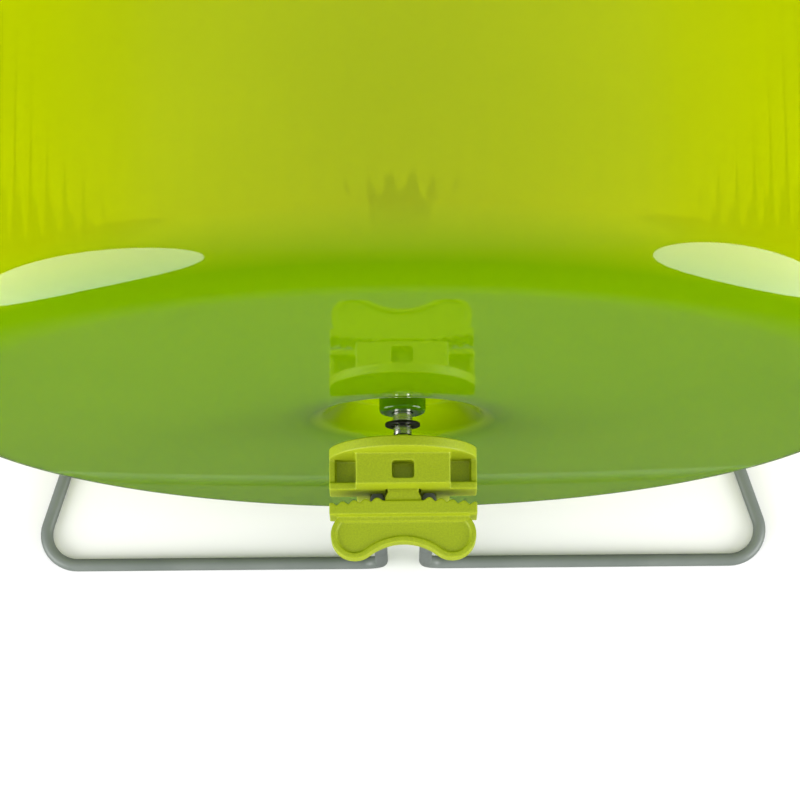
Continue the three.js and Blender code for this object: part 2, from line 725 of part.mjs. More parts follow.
// The ratchet: sawtooth valleys across the top and the bottom of the stem.
function ratchetValleys() {
  const valleys = [];
  const clear = 1;
  for (let i = 0; i < STEM_TOOTH_COUNT; i += 1) {
    const y = STEM_FRONT - 0.9 - i * STEM_TOOTH_PITCH;
    for (const side of [-1, 1]) {
      valleys.push(plateSideways(polygon([
        [y, side * (STEM_HALF_HEIGHT - STEM_TOOTH_DEPTH)],
        [y, side * (STEM_HALF_HEIGHT + clear)],
        [y - STEM_TOOTH_PITCH * 0.8, side * (STEM_HALF_HEIGHT + clear)],
        [y - STEM_TOOTH_PITCH * 0.8, side * STEM_HALF_HEIGHT],
      ]), -STEM_HALF_WIDTH - 1, STEM_HALF_WIDTH + 1));
    }
  }
  return joined(valleys);
}

function clampSlider() {
  const neck = plateLevel(neckShape(), -STEM_HALF_HEIGHT, STEM_HALF_HEIGHT);
  const jaw = plateLevel(outerJawShape(), -JAW_HALF_HEIGHT, JAW_HALF_HEIGHT);
  const cuts = joined([ratchetValleys(), uprightSeat(-1), uprightSeat(1)]);
  return joined([neck, jaw, grip()]).subtract(cuts);
}

// ---------------------------------------------------------------- stand

function uprightLean() {
  return Math.atan2(UPRIGHT_TOP_Y - BASE_BACK_Y, AXLE_HEIGHT - WIRE_RADIUS);
}

// A path through stations, each a place and a direction. A straight takes two of them and
// a bend a few more, so that the wire has facets only where it turns.
class BentWire extends THREE.Curve {
  constructor(stations) {
    super();
    this.stations = stations;
  }

  station(u) {
    return this.stations[Math.round(u * (this.stations.length - 1))];
  }

  getPointAt(u, target = new THREE.Vector3()) {
    return target.copy(this.station(u).place);
  }

  getTangentAt(u, target = new THREE.Vector3()) {
    return target.copy(this.station(u).direction);
  }
}

// Stations along a line of corners, each corner rounded to its own bend radius.
function bentStations(corners, bends) {
  const stations = [];
  const last = corners.length - 1;
  const along = (from, to) => corners[to].clone().sub(corners[from]).normalize();
  stations.push({ place: corners[0].clone(), direction: along(0, 1) });
  for (let i = 1; i < last; i += 1) {
    const before = along(i - 1, i);
    const after = along(i, i + 1);
    const turn = before.angleTo(after);
    const axis = before.clone().cross(after).normalize();
    const start = corners[i].clone().addScaledVector(before, -bends[i] * Math.tan(turn / 2));
    const outward = before.clone().cross(axis).multiplyScalar(bends[i]);
    const centre = start.clone().sub(outward);
    for (let k = 0; k <= BEND_STEPS; k += 1) {
      const angle = (turn * k) / BEND_STEPS;
      stations.push({
        place: centre.clone().add(outward.clone().applyAxisAngle(axis, angle)),
        direction: before.clone().applyAxisAngle(axis, angle),
      });
    }
  }
  stations.push({ place: corners[last].clone(), direction: along(last - 1, last) });
  return stations;
}

// The corners of one half of the stand, from the end in the clamp to the front bar.
function standCorners(side) {
  const floor = WIRE_RADIUS - AXLE_HEIGHT;
  const taper = Math.tan(THREE.MathUtils.degToRad(BASE_TAPER_DEG)) * (BASE_FRONT_Y - BASE_BACK_Y);
  const slope = (UPRIGHT_TOP_Y - BASE_BACK_Y) / -floor;
  return [
    new THREE.Vector3(side * UPRIGHT_X, UPRIGHT_TOP_Y + slope * UPRIGHT_TOP, UPRIGHT_TOP),
    new THREE.Vector3(side * UPRIGHT_X, BASE_BACK_Y, floor),
    new THREE.Vector3(side * BASE_HALF_WIDTH, BASE_BACK_Y, floor),
    new THREE.Vector3(side * (BASE_HALF_WIDTH - taper), BASE_FRONT_Y, floor),
  ];
}

// The wire's section has a flat underneath, so that the stand rests on a true face. It is
// turned by the lean of the uprights, which brings that flat level along the floor.
function wireSection() {
  const corner = WIRE_RADIUS / Math.cos(Math.PI / WIRE_SIDES);
  const points = [];
  for (let i = 0; i < WIRE_SIDES; i += 1) {
    const angle = ((i + 0.5) / WIRE_SIDES) * Math.PI * 2 - uprightLean();
    points.push([corner * Math.cos(angle), corner * Math.sin(angle)]);
  }
  return polygon(points);
}

function standWire() {
  const left = standCorners(-1);
  const right = standCorners(1).reverse();
  const bends = [0, UPRIGHT_BEND, BASE_BEND, BASE_BEND, BASE_BEND, BASE_BEND, UPRIGHT_BEND, 0];
  const stations = bentStations([...left, ...right], bends);
  return toSolid(new THREE.ExtrudeGeometry(wireSection(), {
    steps: stations.length - 1,
    extrudePath: new BentWire(stations),
    bevelEnabled: false,
  }));
}

// ---------------------------------------------------------------- whole object

const wheel = new THREE.Group();
wheel.add(
  piece('wheel_drum', wheelDrum(), 'greenClear'),
  piece('hub_cap', hubCap(), 'greenClear'),
);

const hub = new THREE.Group();
hub.add(
  ...bearing('rear', REAR_BEARING_MIDDLE),
  ...bearing('front', FRONT_BEARING_MIDDLE),
  ...axlePieces(),
);

const clamp = new THREE.Group();
clamp.add(
  piece('clamp_body', clampBody(), 'limePlastic'),
  piece('clamp_slider', clampSlider(), 'limePlastic'),
);

const stand = new THREE.Group();
stand.add(piece('stand_wire', standWire(), 'wireGrey'));

const exerciseWheel = new THREE.Group();
exerciseWheel.add(wheel, hub, clamp, stand);
exerciseWheel.position.set(0, -MIDDLE_Y, AXLE_HEIGHT);

export default exerciseWheel;
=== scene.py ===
"""Looks of the rodent exercise wheel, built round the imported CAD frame.

The pieces are drawn in millimetres round the wheel's axle: Y runs forwards along it from
the plane of the wheel's back, and X and Z are measured from its axis. place() turns them
into metres in the frame that the CAD model shares.
"""

import json
import math

import bmesh
import bpy
from mathutils import Matrix, Vector

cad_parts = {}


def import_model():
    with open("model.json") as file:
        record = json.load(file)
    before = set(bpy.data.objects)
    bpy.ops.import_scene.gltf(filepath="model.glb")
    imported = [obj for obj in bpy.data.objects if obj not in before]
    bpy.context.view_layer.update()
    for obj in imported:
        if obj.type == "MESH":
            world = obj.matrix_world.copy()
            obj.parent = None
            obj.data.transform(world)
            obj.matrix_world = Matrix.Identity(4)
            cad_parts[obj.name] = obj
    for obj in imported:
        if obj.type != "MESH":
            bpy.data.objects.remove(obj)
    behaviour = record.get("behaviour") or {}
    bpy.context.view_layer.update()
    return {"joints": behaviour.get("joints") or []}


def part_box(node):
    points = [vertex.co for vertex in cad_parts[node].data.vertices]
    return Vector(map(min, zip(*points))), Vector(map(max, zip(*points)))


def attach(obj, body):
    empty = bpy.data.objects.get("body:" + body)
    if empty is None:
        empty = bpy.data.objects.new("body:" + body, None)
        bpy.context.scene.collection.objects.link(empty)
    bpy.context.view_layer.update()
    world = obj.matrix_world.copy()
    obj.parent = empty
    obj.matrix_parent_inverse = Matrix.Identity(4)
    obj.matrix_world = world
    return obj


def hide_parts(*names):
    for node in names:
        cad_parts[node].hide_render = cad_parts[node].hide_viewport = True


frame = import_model()

MM = 0.001
JOINTS = {joint["name"]: joint for joint in frame["joints"]}

# The wheel's axis and the plane of its back, found from the wheel's joint and the clamp
FLANGE_FRONT = -8.6
ORIGIN = Vector((
    0.0,
    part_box("clamp_body")[1].y - FLANGE_FRONT * MM,
    JOINTS["wheel_spin"]["pos_m"][2],
))
AXLE_HEIGHT = ORIGIN.z / MM

# Mesh building
ON_AXIS = 1e-6
CRISP_DEG = 40.0
STRAIGHT_TURN_DEG = 4.0
CORNER_SHARE = 0.45
SMALL_SEGMENTS = 72
TURNED_EDGE_STEPS = 3
FINE_EDGE_STEPS = 4
BROAD_EDGE_STEPS = 6
SOFTEN_FACTOR = 0.5
SOFTEN_PASSES = 3
JOIN = 0.5
CLEAR = 1.0

# Wheel
WHEEL_RADIUS = 140.0
WHEEL_DEPTH = 90.0
WALL = 2.4
EDGE_RADIUS = 17.5
BACK_DOME = 1.5
WALL_DRAFT = 0.5
FLAT_RADIUS = WHEEL_RADIUS - WALL_DRAFT - EDGE_RADIUS
EDGE_START_DEG = -87.2
EDGE_INSIDE_END_DEG = -14.0
EDGE_STEPS = 24
EDGE_INSIDE_STEPS = 16
BACK_STEPS = 12
BACK_INSIDE_STEPS = 6
EDGE_Y = BACK_DOME + EDGE_RADIUS
FLAT_MARGIN = 4.0
RIM_Y = WHEEL_DEPTH - 4.0
RIM_DRAFT = 0.05
WALL_FRONT_Y = WHEEL_DEPTH - 5.0
WALL_BACK_RADIUS = WHEEL_RADIUS - WALL_DRAFT - WALL
RECESS_RIM_RADIUS = 25.5
RECESS_SLOPE_RADIUS = RECESS_RIM_RADIUS - 3.5
RECESS_SLOPE_Y = 1.2
RECESS_FLOOR_RADIUS = 16.0
RECESS_DEPTH = 8.0
RECESS_INSIDE_RADIUS = RECESS_FLOOR_RADIUS + 2.2
RIB_COUNT = 150
RIB_STEPS = 8
RIB_HEIGHT = 0.45
RIB_FLANK_SHARE = 0.55
RIB_DRAFT = 0.01
RIB_FRONT_END = 1.0
RIB_FRONT_FULL = 3.0
RIB_BACK_END = 2.0
RIB_BACK_FULL = 5.0
BODY_SEGMENTS = 240

# Hub and bearings
BOSS_RADIUS = 6.4
BOSS_BACK = 2.1
BOSS_LIP_RADIUS = 2.95
HUB_RADIUS = 6.8
CAP_GAP = 0.3
CAP_WALL = 1.6
CAP_TOP_INSET = 4.2
CAP_CROWN = 0.2
CAP_SHOULDER = 1.6
CAP_TOP_THICKNESS = 1.8
CAP_INNER_SHOULDER = 2.6
CAP_SEGMENTS = 96
HUB_FRONT = 60.0
SEAT_RADIUS = 5.8
SHOULDER_RADIUS = 4.6
SEAT_DEPTH = 5.8
REAR_SEAT_BACK = 3.1
BEARING_HALF = 2.5
BALL_COUNT = 8
BALL_RADIUS = 0.75
BALL_CIRCLE_RADIUS = 4.0
REAR_BEARING = REAR_SEAT_BACK + SEAT_DEPTH / 2
FRONT_BEARING = HUB_FRONT - SEAT_DEPTH / 2
OUTER_RING_RADIUS = 5.55
OUTER_RING_BORE = 4.65
INNER_RING_RADIUS = 3.35
INNER_RING_BORE = 2.65
GROOVE_DEPTH = 0.22
GROOVE_HALF_WIDTH = 0.7
SHIELD_STEP_HALF = 1.75
SHIELD_STEP_DEPTH = 0.35
SHIELD_MIDDLE = 2.1
SHIELD_THICKNESS = 0.3
SHIELD_REACH = 0.2
SHIELD_CHANNEL = 0.08
SHIELD_INNER_STEP = 0.45
SHIELD_OUTER_STEP = 0.35
SHIELD_EDGE = 0.06
CAGE_POCKET_RADIUS = 0.86
CAGE_HALF_WIDTH = 0.38
CAGE_FRONT = 1.45
CAGE_FINGER_BACK = 0.72
CAGE_STEPS = 24
CAGE_CRISP_DEG = 35.0
GROOVE_STEP_DEG = 15
RACE_EDGE = 0.08
RING_EDGE = 0.12

# Axle, clip and nuts
AXLE_RADIUS = 2.5
AXLE_SHOULDER_RADIUS = 2.7
AXLE_FRONT = HUB_FRONT + 7
AXLE_HEAD_RADIUS = 4.2
AXLE_HEAD_FRONT = -10.3
AXLE_HEAD_BACK = -12.3
AXLE_TIP_CHAMFER = 0.7
THREAD_RUN_OUT = 0.3
THREAD_FROM_HEAD = 0.7
THREAD_FROM_TIP = 0.8
CLIP_MIDDLE = -1.1
CLIP_THICKNESS = 0.7
CLIP_RADIUS = 4.8
CLIP_BORE = 3.3
CLIP_GROOVE_RADIUS = 2.0
CLIP_GROOVE_WIDTH = 1.1
CLIP_PAD_DEGREES = (20, 90, 160)
CLIP_PAD_HALF_WIDTH = 0.9
CLIP_MOUTH_HALF_WIDTH = 2.1
CLIP_VOXEL = 0.08
CLIP_KEEP = 0.5
NUT_ACROSS_FLATS = 8.0
NUT_THICKNESS = 3.7
NUT_CHAMFER = 0.5
NUT_CORNER_CUT = 0.65
NUT_LEAD_IN = 0.35
NUT_CRISP_DEG = 25.0
SPACER_BORE = 2.7
SPACER_RADIUS = 3.1
WASHER_RADIUS = 4.4
WASHER_THICKNESS = 1.0
NUT_BORE_RADIUS = 2.75
THREAD_PITCH = 0.8
THREAD_DEPTH = 0.35
THREAD_STEPS_PER_TURN = 6
MATING_GAP = 0.3

# Clamp body
FLANGE_BACK = -11.6
FLANGE_RADIUS = 20.5
FLANGE_SEGMENTS = 180
CLAMP_HALF_WIDTH = 20.0
JAW_HALF_HEIGHT = 5.0
INNER_JAW_FRONT = -18.1
INNER_JAW_BACK = -20.1
BLOCK_HALF_WIDTH = 12.7
BLOCK_HALF_HEIGHT = 12.8
SIDE_WALL = 1.6
SIDE_WEB = 2.8
BLOCK_EDGE = 0.5
JAW_EDGE = 0.7
WINDOW_EDGE = 0.8
EJECTOR_MARK_X = 8.3
EJECTOR_MARK_Y = -15.5
EJECTOR_MARK_RADIUS = 1.0
EJECTOR_MARK_BORE = 0.72
EJECTOR_MARK_DEPTH = 0.12
EJECTOR_MARK_SEGMENTS = 40
WINDOW_HALF_WIDTH = 3.0
WINDOW_FRONT = -13.7
WINDOW_BACK = -18.6
TONGUE_TOP = 8.2
TONGUE_SLOT = 0.5
CHANNEL_HALF_WIDTH = 4.7
CHANNEL_HALF_HEIGHT = 4.9
HEAD_POCKET_FRONT = -10.0
HEAD_POCKET_RADIUS = 4.6

# Clamp slider
STEM_HALF_WIDTH = 4.3
STEM_HALF_HEIGHT = 4.3
STEM_FRONT = -12.8
STEM_TOOTH_PITCH = 1.2
STEM_TOOTH_COUNT = 5
STEM_TOOTH_DEPTH = 0.6
STEM_TOOTH_START = 0.9
STEM_TOOTH_SHARE = 0.8
STEM_TAPER = 0.2
NECK_FLARE_HALF_WIDTH = 4.9
NECK_FLARE_BACK = -22.4
OUTER_JAW_BACK = -26.9
OUTER_JAW_MIDDLE_FRONT = -23.1
OUTER_JAW_END_FRONT = -24.7
JAW_TOOTH_PITCH = 3.1
JAW_TOOTH_COUNT = 5
JAW_TOOTH_DEPTH = 1.0
JAW_TOOTH_TIP = 0.4
JAW_LAST_TIP = 0.5
GRIP_HALF_THICKNESS = 2.5
GRIP_LOBE_X = 13.2
GRIP_LOBE_Y = -32.0
GRIP_LOBE_RADIUS = 6.5
GRIP_WAIST_Y = -34.0
GRIP_RIM = 1.5
GRIP_PANEL_DEPTH = 0.7
GRIP_ROOT_REACH = 4.0
GRIP_ROOT_Y = 2.0
GRIP_ARC_STEPS = 40
CUT_HEIGHT = 10.0
CUT_REACH = 60.0
CLAMP_VOXEL = 0.22
CLAMP_KEEP = 0.35

# Stand
WIRE_RADIUS = 2.0
UPRIGHT_X = 6.95
UPRIGHT_TOP = -1.5
UPRIGHT_TOP_Y = -21.6
BASE_BACK_Y = -11.6
BASE_FRONT_Y = 76.0
BASE_HALF_WIDTH = 118.0
BASE_TAPER_DEG = 17.5
UPRIGHT_BEND = 6.0
BASE_BEND = 10.0
WIRE_SEAT_GAP = 0.35
WIRE_SEAT_TOP = -1.1
WIRE_SEAT_LENGTH = 60.0
WIRE_SEAT_SEGMENTS = 48
WIRE_END_EDGE = 0.5
WIRE_END_STEPS = 5
WIRE_SIDES = 28
WIRE_BEND_STEPS = 14
WIRE_STRAIGHT_STEPS = 10
WIRE_CRISP_DEG = 50.0

# View: the camera looks down along the wheel's back, from a little behind it
VIEW_TILT_DEG = 13.7
VIEW_ROLL_DEG = 0.5
VIEW_DISTANCE = 820.0
VIEW_RIGHT = -0.7
VIEW_UP = 5.7
VIEW_NEAREST = 10.0
LENS_MM = 135.0
SENSOR_MM = 36.0

# Studio, in metres and watts. Gloss sees a dim room: its grey by height, from floor to ceiling
FLOOR_HALF = 6.0
FLOOR_TONES = (0.94, 0.96)
FLOOR_CLOUD = (3.0, 2.0)
FLOOR_ROUGHNESS = 0.9
AMBIENT = 0.97
ROOM_TONES = (
    (0.0, 0.14),
    (0.1, 0.13),
    (0.22, 0.01),
    (0.55, 0.01),
    (0.72, 0.08),
    (0.8, 0.2),
    (1.0, 0.36),
)
SOFTBOX_DISTANCE = 0.9
# A softbox: its shape, turn round the wheel, height, size, watts, and spin in its own plane
SOFTBOXES = {
    "left_softbox": ("ELLIPSE", -61.5, 0.24, (0.96, 0.76), 9.0, 52.0),
    "right_softbox": ("DISK", 68.5, 0.19, (0.76, 0.76), 8.0, 0.0),
}

# Drum plastic: display colours, where one gives way to the next, and noises as below
DRUM_BACK_TONES = ((98, 136, 0), (105, 142, 0))
# Painted light: the wall's tones are lighter and yellower than the back's, for light that falls on
# and through the wall
DRUM_WALL_PAINTED_LIGHT_TONES = ((182, 198, 0), (190, 204, 0))
# Painted glow: the recess is made bright for light that comes through its thin plastic from inside
# the wheel
DRUM_RECESS_PAINTED_GLOW_TONES = ((178, 208, 0), (185, 214, 0))
# Painted shade: the boss is darkened for the dark steel bearing behind it, which lets no light
# through the plastic
DRUM_BOSS_PAINTED_SHADE_TONES = ((66, 112, 0), (72, 118, 0))
# Where the wall's painted light and its clearness begin, forward of the back
DRUM_WALL_START = 6.0
# Where the boss's painted shade is full and where it has faded out
BOSS_PAINTED_SHADE_NEAR = BOSS_RADIUS + 0.2
BOSS_PAINTED_SHADE_FAR = BOSS_RADIUS + 1.2
DRUM_CLOUD = (9.0, 2.0)
DRUM_HAZE = (40.0, 3.0)
DRUM_WAVE = (14.0, 1.0)
DRUM_ROUGHNESS = (0.01, 0.03)
DRUM_CLEARNESS = (0.0, 0.45)
DRUM_BUMP = (0.01, 1.0)
DRUM_SHADER = {
    "Subsurface Weight": 0.7,
    "Subsurface Radius": (0.005, 0.006, 0.001),
    "Subsurface Scale": 1.0,
    "IOR": 1.5,
}

# Sockets of a colour mix
MIX_FIRST = 6
MIX_SECOND = 7
MIX_RESULT = 2

# The other materials. Noise mixes two display colours between two of its levels, sets the
# roughness between two values, and raises a bump of (strength, millimetres). A noise is its
# (scale, detail, roughness, stretch), of which the last two may be left out.
TONE_LEVELS = (0.3, 0.7)
LOOKS = {
    # Matt lime plastic with the fine grain of a spark-eroded mould
    "clamp_plastic": {
        "tones": ((147, 163, 0), (163, 178, 2)),
        "levels": (0.35, 0.65),
        "mottle": (2200.0, 3.0, 0.6),
        "roughness": (0.42, 0.6),
        "bump": (0.4, 0.07),
        "shader": {"Subsurface Weight": 0.2, "Subsurface Radius": (0.002, 0.002, 0.0004)},
    },
    # Grey plastic coating over bent wire: satin, slightly wavy
    "coated_wire": {
        "tones": ((104, 112, 106), (116, 123, 117)),
        "mottle": (60.0, 4.0),
        "grain": (420.0, 3.0),
        "roughness": (0.32, 0.45),
        "bump": (0.25, 0.08),
    },
    # Bright steel with the fine rings that turning leaves
    "turned_steel": {
        "tones": ((168, 167, 160), (205, 204, 198)),
        "mottle": (300.0, 5.0, 0.6, (0.1, 12.0, 0.1)),
        "roughness": (0.18, 0.34),
        "bump": (0.2, 0.02),
        "shader": {"Metallic": 1.0},
    },
    # Oiled black oxide on spring steel
    "black_steel": {
        "tones": ((22, 22, 22), (52, 50, 47)),
        "levels": (0.45, 0.75),
        "mottle": (700.0, 5.0, 0.6),
        "roughness": (0.3, 0.5),
        "bump": (0.2, 0.03),
        "shader": {"Metallic": 0.7},
    },
    # Cream moulded nylon
    "cage_nylon": {
        "tones": ((222, 214, 190), (236, 230, 212)),
        "mottle": (500.0, 3.0),
        "roughness": (0.4, 0.55),
        "shader": {"Subsurface Weight": 0.15, "Subsurface Radius": (0.001, 0.001, 0.0008)},
    },
    # Ground and lapped bearing steel, with only the faintest haze
    "ball_steel": {
        "tones": ((196, 196, 194), (214, 214, 212)),
        "mottle": (900.0, 3.0),
        "roughness": (0.06, 0.12),
        "shader": {"Metallic": 1.0},
    },
}


# ---- mesh building

def place(point):
    """A point of the wheel's own millimetres, in metres in the shared frame."""
    return ORIGIN + Vector(point) * MM


def linked(name, data):
    """A new object in the scene."""
    obj = bpy.data.objects.new(name, data)
    bpy.context.scene.collection.objects.link(obj)
    return obj


def add_piece(mesh, body, nodes, look):
    """Links a finished mesh as a piece that stands for CAD nodes and rides on their body."""
    obj = linked(mesh.name, mesh)
    mesh.materials.clear()
    mesh.materials.append(MATERIALS[look])
    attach(obj, body)
    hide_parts(*nodes)


def outward_mesh(name, points, faces):
    """A mesh whose faces all point outwards."""
    mesh = bpy.data.meshes.new(name)
    mesh.from_pydata(points, [], faces)
    work = bmesh.new()
    work.from_mesh(mesh)
    bmesh.ops.recalc_face_normals(work, faces=work.faces)
    work.to_mesh(mesh)
    work.free()
    return mesh


def mesh_from(name, points, faces, crisp_deg=CRISP_DEG):
    """A smooth mesh, kept crisp where two faces meet at more than an angle."""
    mesh = outward_mesh(name, [place(point) for point in points], faces)
    mesh.shade_smooth()
    mesh.set_sharp_from_angle(angle=math.radians(crisp_deg))
    return mesh


def rounded(outline, radius, steps):
    """An outline with its corners rounded. A corner's own radius may follow its two places."""
    result = []
    for i, corner in enumerate(outline):
        here = Vector(corner[:2])
        own = corner[2] if len(corner) > 2 else radius
        before = Vector(outline[i - 1][:2]) - here
        after = Vector(outline[(i + 1) % len(outline)][:2]) - here
        turn = math.pi - before.angle(after, math.pi)
        if own <= 0 or turn < math.radians(STRAIGHT_TURN_DEG) or here.x < ON_AXIS:
            result.append((here.x, here.y))
            continue
        most = CORNER_SHARE * min(before.length, after.length)
        reach = min(own * math.tan(turn / 2), most)
        start = here + before.normalized() * reach
        end = here + after.normalized() * reach
        for k in range(steps + 1):
            t = k / steps
            point = start * (1 - t) ** 2 + here * 2 * t * (1 - t) + end * t ** 2
            result.append((point.x, point.y))
    return result


def turned_ring(points, radius, y, segments, offset):
    """Adds a ring of points round the axle, or one point on it, and gives their numbers."""
    if radius < ON_AXIS:
        points.append((0.0, y, 0.0))
        return [len(points) - 1]
    ring = []
    for k in range(segments):
        angle = 2 * math.pi * k / segments
        reach = radius + (offset(k) if offset else 0.0)
        ring.append(len(points))
        points.append((reach * math.sin(angle), y, reach * math.cos(angle)))
    return ring


def faces_between(one, two):
    """Faces that join two rings. The finer ring is a whole number of times as fine."""
    coarse, fine = (one, two) if len(one) <= len(two) else (two, one)
    if len(coarse) == 1:
        return [(coarse[0], fine[k], fine[(k + 1) % len(fine)]) for k in range(len(fine))]
    step = len(fine) // len(coarse)
    faces = []
    for k in range(len(coarse)):
        edge = [fine[(k * step + j) % len(fine)] for j in range(step + 1)]
        faces.append([coarse[k], *edge, coarse[(k + 1) % len(coarse)]])
    return faces


def revolve(name, rows, closed):
    """Turns rows round the axle. A row is (radius, y, segments, offset or None)."""
    points = []
    rings = [turned_ring(points, *row) for row in rows]
    if closed:
        rings.append(rings[0])
    faces = []
    for one, two in zip(rings, rings[1:]):
        faces += faces_between(one, two)
    return mesh_from(name, points, faces)


def plain_rows(points, segments=SMALL_SEGMENTS):
    """Rows of true circles, for revolve()."""
    return [(x, y, segments, None) for x, y in points]


def turned(name, outline, radius, segments=SMALL_SEGMENTS, steps=TURNED_EDGE_STEPS):
    """A turned piece from an outline of (radius, y) corners, its edges rounded."""
    points = rounded(outline, radius, steps)
    closed = all(x > ON_AXIS for x, _ in points)
    return revolve(name, plain_rows(points, segments), closed)


def arc(centre_x, centre_y, radius, from_deg, to_deg, steps):
    """Points along an arc, with both of its ends."""
    points = []
    for k in range(steps + 1):
        angle = math.radians(from_deg + (to_deg - from_deg) * k / steps)
        points.append((centre_x + radius * math.cos(angle), centre_y + radius * math.sin(angle)))
    return points


def circle(radius, segments, x=0, y=0):
    """A closed round outline, without its first point again at its end."""
    return arc(x, y, radius, 0, 360, segments)[:-1]


# ---- moulded solids
#
# The clamp's solids are joined and cut in millimetres round the axle, then remeshed finely,
# which gives them the small soft edges of a moulding, and only then put in their place.

def prism(outline, low, high, axis):
    """An outline pushed along one axis. Its own two coordinates are the other two axes."""
    order = {"x": (2, 0, 1), "y": (0, 2, 1), "z": (0, 1, 2)}[axis]
    count = len(outline)
    points = []
    for depth in (low, high):
        points += [[(a, b, depth)[i] for i in order] for a, b in outline]
    faces = [list(range(count))[::-1], list(range(count, 2 * count))]
    for i in range(count):
        j = (i + 1) % count
        faces.append((i, j, count + j, count + i))
    return linked("draft", outward_mesh("draft", points, faces))


def block(x0, x1, y0, y1, z0, z1):
    """A box, by its six limits."""
    return prism([(x0, y0), (x1, y0), (x1, y1), (x0, y1)], z0, z1, "z")


def slab(half_width, y0, y1, half_height):
    """A block that is centred on the axle."""
    return block(-half_width, half_width, y0, y1, -half_height, half_height)


def round_rod(radius, back, front, segments=96):
    """A round solid along the axle."""
    return prism(circle(radius, segments), back, front, "y")


def rounded_box_outline(half_width, half_height, radius):
    """An upright rectangle round the origin, with round corners."""
    outline = []
    for quarter, (across, upwards) in enumerate(((1, 1), (-1, 1), (-1, -1), (1, -1))):
        x = across * (half_width - radius)
        y = upwards * (half_height - radius)
        outline += arc(x, y, radius, quarter * 90, quarter * 90 + 90, BROAD_EDGE_STEPS)
    return outline


def combine(base, others, operation):
    """Joins or cuts a solid with others, which are used up."""
    for other in others:
        modifier = base.modifiers.new("combine", "BOOLEAN")
        modifier.operation = operation
        modifier.solver = "EXACT"
        modifier.object = other
        apply_modifiers(base)
        bpy.data.objects.remove(other)
    return base


def apply_modifiers(obj):
    """Gives an object the mesh that its modifiers make, and drops them."""
    depsgraph = bpy.context.evaluated_depsgraph_get()
    mesh = bpy.data.meshes.new_from_object(obj.evaluated_get(depsgraph))
    obj.modifiers.clear()
    obj.data = mesh


def moulded(obj, name, voxel, keep):
    """The finished mesh of a solid: remeshed, its edges softened, thinned and placed."""
    remesh = obj.modifiers.new("remesh", "REMESH")
    remesh.mode = "VOXEL"
    remesh.voxel_size = voxel
    soften = obj.modifiers.new("soften", "SMOOTH")
    soften.factor = SOFTEN_FACTOR
    soften.iterations = SOFTEN_PASSES
    thin = obj.modifiers.new("thin", "DECIMATE")
    thin.ratio = keep
    apply_modifiers(obj)
    mesh = obj.data
    bpy.data.objects.remove(obj)
    mesh.name = name
    mesh.transform(Matrix.Translation(ORIGIN) @ Matrix.Scale(MM, 4))
    mesh.shade_smooth()
    return mesh


# ---- materials

def new_material(name):
    """A material, its node tree and its shader."""
    material = bpy.data.materials.new(name)
    material.use_nodes = True
    tree = material.node_tree
    return material, tree, tree.nodes["Principled BSDF"]


def noise(tree, scale, detail, roughness=0.5, stretch=(1, 1, 1)):
    """Noise in the object's own coordinates, which a joint's motion leaves in place."""
    coordinates = tree.nodes.new("ShaderNodeTexCoord")
    mapping = tree.nodes.new("ShaderNodeMapping")
    mapping.inputs["Scale"].default_value = stretch
    texture = tree.nodes.new("ShaderNodeTexNoise")
    texture.inputs["Scale"].default_value = scale
    texture.inputs["Detail"].default_value = detail
    texture.inputs["Roughness"].default_value = roughness
    tree.links.new(coordinates.outputs["Object"], mapping.inputs["Vector"])
    tree.links.new(mapping.outputs["Vector"], texture.inputs["Vector"])
    return texture.outputs["Fac"]


def ramp(tree, factor, stops):
    """Colours by a factor, from stops of (level, linear colour)."""
    node = tree.nodes.new("ShaderNodeValToRGB")
    elements = node.color_ramp.elements
    while len(elements) < len(stops):
        elements.new(0.5)
    for element, (position, colour) in zip(elements, stops):
        element.position = position
        element.color = (*colour, 1.0)
    tree.links.new(factor, node.inputs["Fac"])
    return node.outputs["Color"]


def ranged(tree, factor, low, high, start=0.0, end=1.0):
    """A factor between a start and an end, spread over another range."""
    node = tree.nodes.new("ShaderNodeMapRange")
    for socket, value in zip(("From Min", "From Max", "To Min", "To Max"), (start, end, low, high)):
        node.inputs[socket].default_value = value
    tree.links.new(factor, node.inputs["Value"])
    return node.outputs["Result"]


def along(tree, coordinates, axis):
    """One of a point's object or generated coordinates."""
    source = tree.nodes.new("ShaderNodeTexCoord")
    parts = tree.nodes.new("ShaderNodeSeparateXYZ")
    tree.links.new(source.outputs[coordinates], parts.inputs["Vector"])
    return parts.outputs[axis]


def forward(tree):
    """How far a point lies from the back of the wheel, 0, into its wall, 1."""
    y = along(tree, "Object", "Y")
    start = ORIGIN.y + DRUM_WALL_START * MM
    return ranged(tree, y, 0.0, 1.0, start, ORIGIN.y + EDGE_Y * MM)


def near_axis(tree, near, far):
    """Falls from 1 at one distance from the wheel's axis to 0 at a greater one."""
    coordinates = tree.nodes.new("ShaderNodeTexCoord")
    vector = coordinates.outputs["Object"]
    for operation, operand in (("SUBTRACT", ORIGIN), ("MULTIPLY", (1, 0, 1)), ("LENGTH", None)):
        step = tree.nodes.new("ShaderNodeVectorMath")
        step.operation = operation
        if operand:
            step.inputs[1].default_value = operand
        tree.links.new(vector, step.inputs[0])
        vector = step.outputs[0]
    return ranged(tree, step.outputs["Value"], 0.0, 1.0, far * MM, near * MM)


def blended(tree, factor, one, other):
    """One colour where a factor is 0, and the other where it is 1."""
    node = tree.nodes.new("ShaderNodeMix")
    node.data_type = "RGBA"
    tree.links.new(factor, node.inputs[0])
    tree.links.new(one, node.inputs[MIX_FIRST])
    tree.links.new(other, node.inputs[MIX_SECOND])
    return node.outputs[MIX_RESULT]


